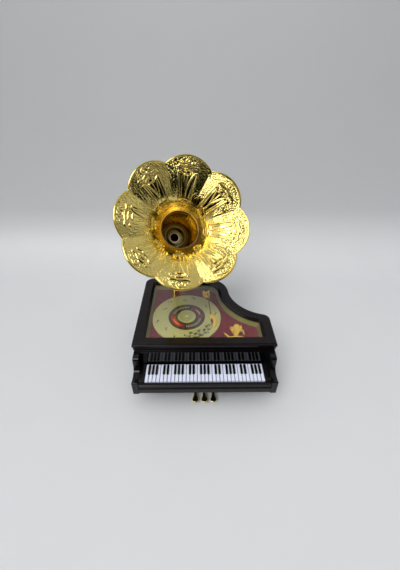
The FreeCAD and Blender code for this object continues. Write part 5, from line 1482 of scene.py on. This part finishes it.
def make_horn_bell():
    """The petals stamped with an urn, scrolls and a rosette, as one closed skin in two halves."""
    petals = settings().horn.petals
    reach = np.linspace(-1, 1, FRONT_COLUMNS + 1)
    across = 0.6 * reach + 0.4 * reach ** 3
    inner = np.linspace(0, RIM_SHARE, FRONT_ROWS + 1)
    share = np.concatenate([inner, np.linspace(RIM_SHARE, 1, RIM_ROWS + 1)[1:]])
    rows, columns = len(share) - 1, FRONT_COLUMNS
    grid_across, grid_share = np.meshgrid(across, share)
    u = np.abs(petal_points(grid_across, grid_share, 0.0, petals)[..., 1])
    v = grid_share * MERIDIAN
    height, ground = petal_relief(u, v, grid_across)
    ripple = np.sin(4.9 * u + 1.9 * np.sin(2.3 * v)) * np.sin(4.5 * v + 1.7 * np.sin(2.9 * u))
    height = height * (settings().horn.relief / MM) + RIPPLE * ground * ripple
    drop = GROUND_DROP * ease(grid_share, 0, 0.12)
    front = petal_points(grid_across, grid_share, drop - height, petals)
    back = petal_points(*np.meshgrid(across, np.linspace(0, 1, BACK_ROWS + 1)), BELL_WALL, petals)
    points = [tuple(point) for skin in (front, back) for point in skin.reshape(-1, 3)]
    behind = (columns + 1) * (rows + 1)
    faces = grid_faces(0, rows, columns, False) + grid_faces(behind, BACK_ROWS, columns, True)
    rim, back_rim = rows * (columns + 1), behind + BACK_ROWS * (columns + 1)
    faces += [(a, behind + a, behind + a + 1, a + 1) for a in range(columns)]
    faces += [(rim + a + 1, back_rim + a + 1, back_rim + a, rim + a) for a in range(columns)]
    plain = np.zeros(back.shape[0] * back.shape[1])
    # The throat's mark paints a warmer gold there: painted reflection
    marks = {"stipple": ground, "warm": 1 - ease(grid_share, 0.0, THROAT_REFLECTION_END)}
    half = petals // 2
    for name, first, count, nodes in (
        ("horn_bell_finished", 0, half, ["horn_bell"]), ("horn_bell_second_half", half, petals - half, []),
    ):
        petal = add_mesh(name, points, faces, placed=False)
        for mark, values in marks.items():
            layer = petal.data.attributes.new(mark, "FLOAT", "POINT")
            layer.data.foreach_set("value", np.concatenate([values.reshape(-1), plain]).astype(np.float32))
        bell = grown(petal, ring_tree(), "bright gold plating", {
            "Count": count, "Start": settings().horn.phase + 2 * math.pi * first / petals,
            "Sweep": 2 * math.pi * count / petals,
        })
        bell.data.transform(horn_axes())
        cleaned(bell)
        bell.data.shade_smooth()
        bell.data.set_sharp_from_angle(angle=math.radians(75))
        finish_piece(bell, "bright gold plating", "plated_gold", "horn", *nodes)


def make_horn_funnel():
    """The funnel behind the petals, with a rolled lip and shallow flutes that run down to the neck."""
    outer_front = THROAT - 0.1
    inner_front = outer_front - BELL_WALL
    inner_back, outer_back = FUNNEL_BACK
    inner, outer = [], []
    for row in range(FUNNEL_ROWS + 1):
        share = row / FUNNEL_ROWS
        narrow = (1 - share) ** FUNNEL_CURVE
        depth = FUNNEL_START + (FUNNEL_END - FUNNEL_START) * share
        fluted = math.sin(math.pi * share) ** 0.6
        inner.append((inner_back + (inner_front - inner_back) * narrow, depth, fluted))
        outer.append((outer_back + (outer_front - outer_back) * narrow, depth, 0.0))
    lip = [(inner_front + a, BELL_DEPTH + b, 0.0) for a, b in bend(*LIP, LIP_STEPS)]
    lip += [(outer_front, BELL_DEPTH + 0.1, 0.0)]
    profile = list(reversed(inner)) + lip + outer
    steps = FLUTES * FLUTE_STEPS
    rings = []
    for step in range(steps):
        turn = 2 * math.pi * step / steps
        wave = FLUTE_DEPTH * abs(math.sin(FLUTES * turn / 2))
        ring = ((r + wave * fluted, depth) for r, depth, fluted in profile)
        rings.append([(r * math.cos(turn), r * math.sin(turn), -depth) for r, depth in ring])
    points, faces = loft(rings, around=True, closed=True)
    funnel = add_mesh("horn_funnel_finished", points, faces, placed=False)
    # Painted shade: the funnel's inside, and half of its lip, get the darker gold
    thin = funnel.data.attributes.new("thin", "FLOAT", "POINT")
    section = [1.0] * len(inner) + [0.5] * 4 + [0.0] * (len(profile) - len(inner) - 4)
    thin.data.foreach_set("value", section * steps)
    cleaned(funnel)
    funnel.data.transform(horn_axes())
    finish_piece(smoothed(funnel, 50), "bright gold plating", "plated_gold", "horn", "horn_funnel")


def make_neck_ring():
    """The washer on the neck's front end, seen down the funnel, painted near-white so that its ring is also a
    painted highlight.
    """
    ring = lathe("horn_neck_ring", [(radius, -depth) for radius, depth in WASHER], 72, placed=False)
    ring.data.transform(horn_axes())
    finish_piece(smoothed(ring, 40), "cream enamel edge", "plated_gold", "horn")


class MUSICBOX_OT_horn(bpy.types.Operator):
    """Makes the petals, the funnel, the neck and the socket of the horn"""
    bl_idname = "music_box.horn"
    bl_label = "Horn"

    def execute(self, context):
        make_horn_bell()
        make_horn_funnel()
        make_neck_ring()
        for node, edge, body in (("horn_neck", 0.35, "horn"), ("horn_socket", 0.4, "case")):
            finish_piece(rounded(node, edge * MM), "bright gold plating", "plated_gold", body, node)
        return {"FINISHED"}


# Movement

MOVEMENT = {
    "turned brass": (
        "spring_barrel", "barrel_cap", "crown_pinion", "pin_cylinder", "cylinder_wheel", "worm_wheel",
        "governor_fan", "governor_cock",
    ),
    "ground steel": (
        "mainspring", "turntable_spindle", "winding_arbor", "ratchet_wheel", "click", "comb",
        "train_arbor", "governor_worm", "stop_slider", "barrel_bridge",
    ),
    "cast zinc": ("movement_bedplate",),
    "nickel-plated steel": (
        "case_screws", "leg_screws", "movement_screws", "socket_screws", "bridge_screws", "comb_screws",
    ),
}
HANDLE_EDGE = 0.5


class MUSICBOX_OT_movement(bpy.types.Operator):
    """Gives the movement, the winding key and the screws their metals"""
    bl_idname = "music_box.movement"
    bl_label = "Movement"

    def execute(self, context):
        for coat, nodes in MOVEMENT.items():
            dress(coat, *nodes)
        for node, coat, slot, body in (
            ("stop_knob", "moulded black ABS", "base_plastic", "stop"),
            ("winding_key", "nickel-plated steel", "steel_parts", "winder"),
        ):
            finish_piece(rounded(node, HANDLE_EDGE * MM), coat, slot, body, node)
        return {"FINISHED"}


# Stage

CAMERA_PLACE = (-8.6, -163.7, 287.5)
CAMERA_YAW = math.radians(1.0)
CAMERA_PITCH = math.radians(37.0)
CAMERA_ROLL = math.radians(-0.4)
FOCAL_PIXELS = 281.6
IMAGE_WIDTH = 400
FLOOR_FRONT = -135.0
FLOOR_BACK = 330.0
FLOOR_SIDE = 700.0
FLOOR_REACH = 3000.0
BACKDROP_HEIGHT = 430.0
BACKDROP_BEND = 90.0
BEND_STEPS = 16
LAMP_PLACE = (0, -30, 700)
LAMP_TARGET = (0, 60, 0)
LAMP_WIDTH = 420
STUDIO_TINT = "fdfeff"
# Round patches of the studio: degrees from the front to the right and up, degrees of core and edge, and value
STUDIO_PATCHES = {"lamp": (-32, 51, 15, 19, 6.0), "shade": (30, 42, 15, 22, 1.0)}
# The studio's light as steps on the direction of a ray: pale walls that darken to the right, overhead and
# below, a lamp at the upper left, and a dark gap behind the camera. Each step has a name, an operation and
# its inputs, which are numbers or names of earlier steps. A fade has one input, two limits and two values.
STUDIO_STEPS = (
    ("forward", "MULTIPLY", "Y", -1.0),
    ("ahead", "MAXIMUM", "forward", 0.001),
    ("sideways", "DIVIDE", "X", "ahead"),
    ("upwards", "DIVIDE", "Z", "ahead"),
    ("gap_left", "FADE", "sideways", -1.4, -1.0, 0, 1),
    ("gap_right", "FADE", "sideways", 1.5, 2.2, 1, 0),
    ("gap_top", "FADE", "upwards", 0.60, 0.85, 1, 0),
    ("gap_width", "MULTIPLY", "gap_left", "gap_right"),
    ("gap", "MULTIPLY", "gap_width", "gap_top"),
    ("dark", "MAXIMUM", "gap", "shade"),
    ("darkness", "MULTIPLY", "dark", 0.985),
    ("openness", "SUBTRACT", 1.0, "darkness"),
    ("sides", "FADE", "X", -1.0, 1.0, 0.95, 0.55),
    ("overhead", "FADE", "Z", 0.72, 0.95, 1, 0.6),
    ("below", "FADE", "Z", 0.0, 0.3, 0.4, 1),
    ("upper_walls", "MULTIPLY", "sides", "overhead"),
    ("walls", "MULTIPLY", "upper_walls", "below"),
    ("lit", "ADD", "walls", "lamp"),
    ("strength", "MULTIPLY", "lit", "openness"),
)


def add_camera():
    """The camera where the photograph was taken from."""
    level = Vector((math.sin(CAMERA_YAW), math.cos(CAMERA_YAW), 0))
    forward = level * math.cos(CAMERA_PITCH) - Vector((0, 0, math.sin(CAMERA_PITCH)))
    right = forward.cross(Vector((0, 0, 1))).normalized()
    down = forward.cross(right)
    rolled_right = right * math.cos(CAMERA_ROLL) + down * math.sin(CAMERA_ROLL)
    rolled_down = down * math.cos(CAMERA_ROLL) - right * math.sin(CAMERA_ROLL)
    lens = bpy.data.cameras.new("camera")
    lens.sensor_fit = "HORIZONTAL"
    lens.sensor_width = 36
    lens.lens = FOCAL_PIXELS / IMAGE_WIDTH * lens.sensor_width
    lens.clip_start = 0.01
    lens.clip_end = 20
    camera = bpy.data.objects.new("camera", lens)
    bpy.context.scene.collection.objects.link(camera)
    turn = Matrix((rolled_right, -rolled_down, -forward)).transposed().to_4x4()
    camera.matrix_world = Matrix.Translation(place(CAMERA_PLACE)) @ turn
    bpy.context.scene.camera = camera


def add_floor():
    """A pale floor that bends up into a backdrop, and the same sheet carried on all round for other views."""
    path = [(FLOOR_FRONT, 0.0)]
    for step in range(BEND_STEPS + 1):
        turn = math.pi / 2 * step / BEND_STEPS
        y = FLOOR_BACK - BACKDROP_BEND * (1 - math.sin(turn))
        path.append((y, BACKDROP_BEND * (1 - math.cos(turn))))
    path.append((FLOOR_BACK, BACKDROP_HEIGHT))
    rings = [[(-FLOOR_SIDE, y, z), (FLOOR_SIDE, y, z)] for y, z in path]
    floor = add_mesh("floor", *loft(rings, around=False))
    floor.data.shade_smooth()
    apron_corners = corners(-FLOOR_REACH, -FLOOR_REACH, FLOOR_REACH, FLOOR_REACH)
    apron = add_mesh("apron", [(x, y, -1) for x, y in apron_corners], [(0, 1, 2, 3)])
    # The apron sends no light to the piano
    for ray in ("diffuse", "glossy", "transmission", "shadow"):
        setattr(apron, f"visible_{ray}", False)
    for sheet in (floor, apron):
        sheet.data.materials.append(finish("satin white sheet"))


def add_studio():
    """The light all round, which metal mirrors."""
    world = bpy.data.worlds.new("studio")
    bpy.context.scene.world = world
    world.use_nodes = True
    tree = world.node_tree
    tree.nodes.clear()
    where = add_node(tree, "ShaderNodeTexCoord").outputs["Generated"]
    outputs = dict(add_node(tree, "ShaderNodeSeparateXYZ", links={"Vector": where}).outputs.items())
    patches = []
    for name, (azimuth, height, core, edge, value) in STUDIO_PATCHES.items():
        turn, lift = math.radians(azimuth), math.radians(height)
        way = (math.sin(turn) * math.cos(lift), -math.cos(turn) * math.cos(lift), math.sin(lift))
        towards = add_node(tree, "ShaderNodeVectorMath", {"operation": "DOT_PRODUCT", 1: way}, {0: where})
        outputs[f"towards_{name}"] = towards.outputs["Value"]
        limits = (math.cos(math.radians(edge)), math.cos(math.radians(core)))
        patches.append((name, "FADE", f"towards_{name}", *limits, 0, value))
    for name, operation, *inputs in (*patches, *STUDIO_STEPS):
        if operation == "FADE":
            source, *numbers = inputs
            fade = dict(zip(("From Min", "From Max", "To Min", "To Max"), numbers))
            step = add_node(
                tree, "ShaderNodeMapRange", {"interpolation_type": "SMOOTHSTEP", **fade},
                {"Value": outputs[source]},
            )
        else:
            values = {i: value for i, value in enumerate(inputs) if isinstance(value, float)}
            links = {i: outputs[value] for i, value in enumerate(inputs) if isinstance(value, str)}
            step = add_node(tree, "ShaderNodeMath", {"operation": operation, **values}, links)
        outputs[name] = step.outputs[0]
    light = add_node(
        tree, "ShaderNodeBackground", {"Color": linear(STUDIO_TINT)}, {"Strength": outputs["strength"]}
    )
    add_node(tree, "ShaderNodeOutputWorld", links={"Surface": light.outputs["Background"]})


def add_lamp():
    """A soft square lamp overhead that metal doesn't mirror."""
    light = bpy.data.lights.new("overhead", "AREA")
    light.shape = "SQUARE"
    light.size = LAMP_WIDTH * MM
    light.energy = settings().stage.lamp
    lamp = bpy.data.objects.new("overhead", light)
    bpy.context.scene.collection.objects.link(lamp)
    aim = place(LAMP_TARGET) - place(LAMP_PLACE)
    turn = aim.to_track_quat("-Z", "Y").to_matrix().to_4x4()
    lamp.matrix_world = Matrix.Translation(place(LAMP_PLACE)) @ turn
    lamp.visible_glossy = False


class MUSICBOX_OT_stage(bpy.types.Operator):
    """Sets the camera, the pale floor and the soft light"""
    bl_idname = "music_box.stage"
    bl_label = "Stage"

    def execute(self, context):
        context.scene.view_settings.view_transform = "Standard"
        add_camera()
        add_floor()
        add_studio()
        add_lamp()
        return {"FINISHED"}


OPERATORS = (
    MUSICBOX_OT_stage, MUSICBOX_OT_case, MUSICBOX_OT_lid, MUSICBOX_OT_keys, MUSICBOX_OT_record,
    MUSICBOX_OT_ornaments, MUSICBOX_OT_horn, MUSICBOX_OT_movement,
)
GROUPS = (CaseSettings, KeySettings, RecordSettings, HornSettings, StageSettings, MusicBoxSettings)


class MUSICBOX_PT_panel(bpy.types.Panel):
    """Lists the pieces and their settings"""
    bl_label = "Music box"
    bl_idname = "MUSICBOX_PT_panel"
    bl_space_type = "VIEW_3D"
    bl_region_type = "UI"
    bl_category = "Music box"

    def draw(self, context):
        for operator in OPERATORS:
            self.layout.operator(operator.bl_idname)
        for name in ("case", "keys", "record", "horn", "stage"):
            group = getattr(context.scene.music_box, name)
            box = self.layout.box()
            box.label(text=name.capitalize())
            for field in group.bl_rna.properties:
                if field.identifier not in ("rna_type", "name"):
                    box.prop(group, field.identifier)


def register():
    for item in GROUPS + OPERATORS + (MUSICBOX_PT_panel,):
        bpy.utils.register_class(item)
    bpy.types.Scene.music_box = PointerProperty(type=MusicBoxSettings)


def unregister():
    del bpy.types.Scene.music_box
    for item in reversed(GROUPS + OPERATORS + (MUSICBOX_PT_panel,)):
        bpy.utils.unregister_class(item)


def main():
    register()
    bpy.ops.music_box.stage()
    bpy.ops.music_box.case()
    bpy.ops.music_box.lid()
    bpy.ops.music_box.keys()
    bpy.ops.music_box.record()
    bpy.ops.music_box.ornaments()
    bpy.ops.music_box.horn()
    bpy.ops.music_box.movement()


if __name__ == "__main__":
    main()
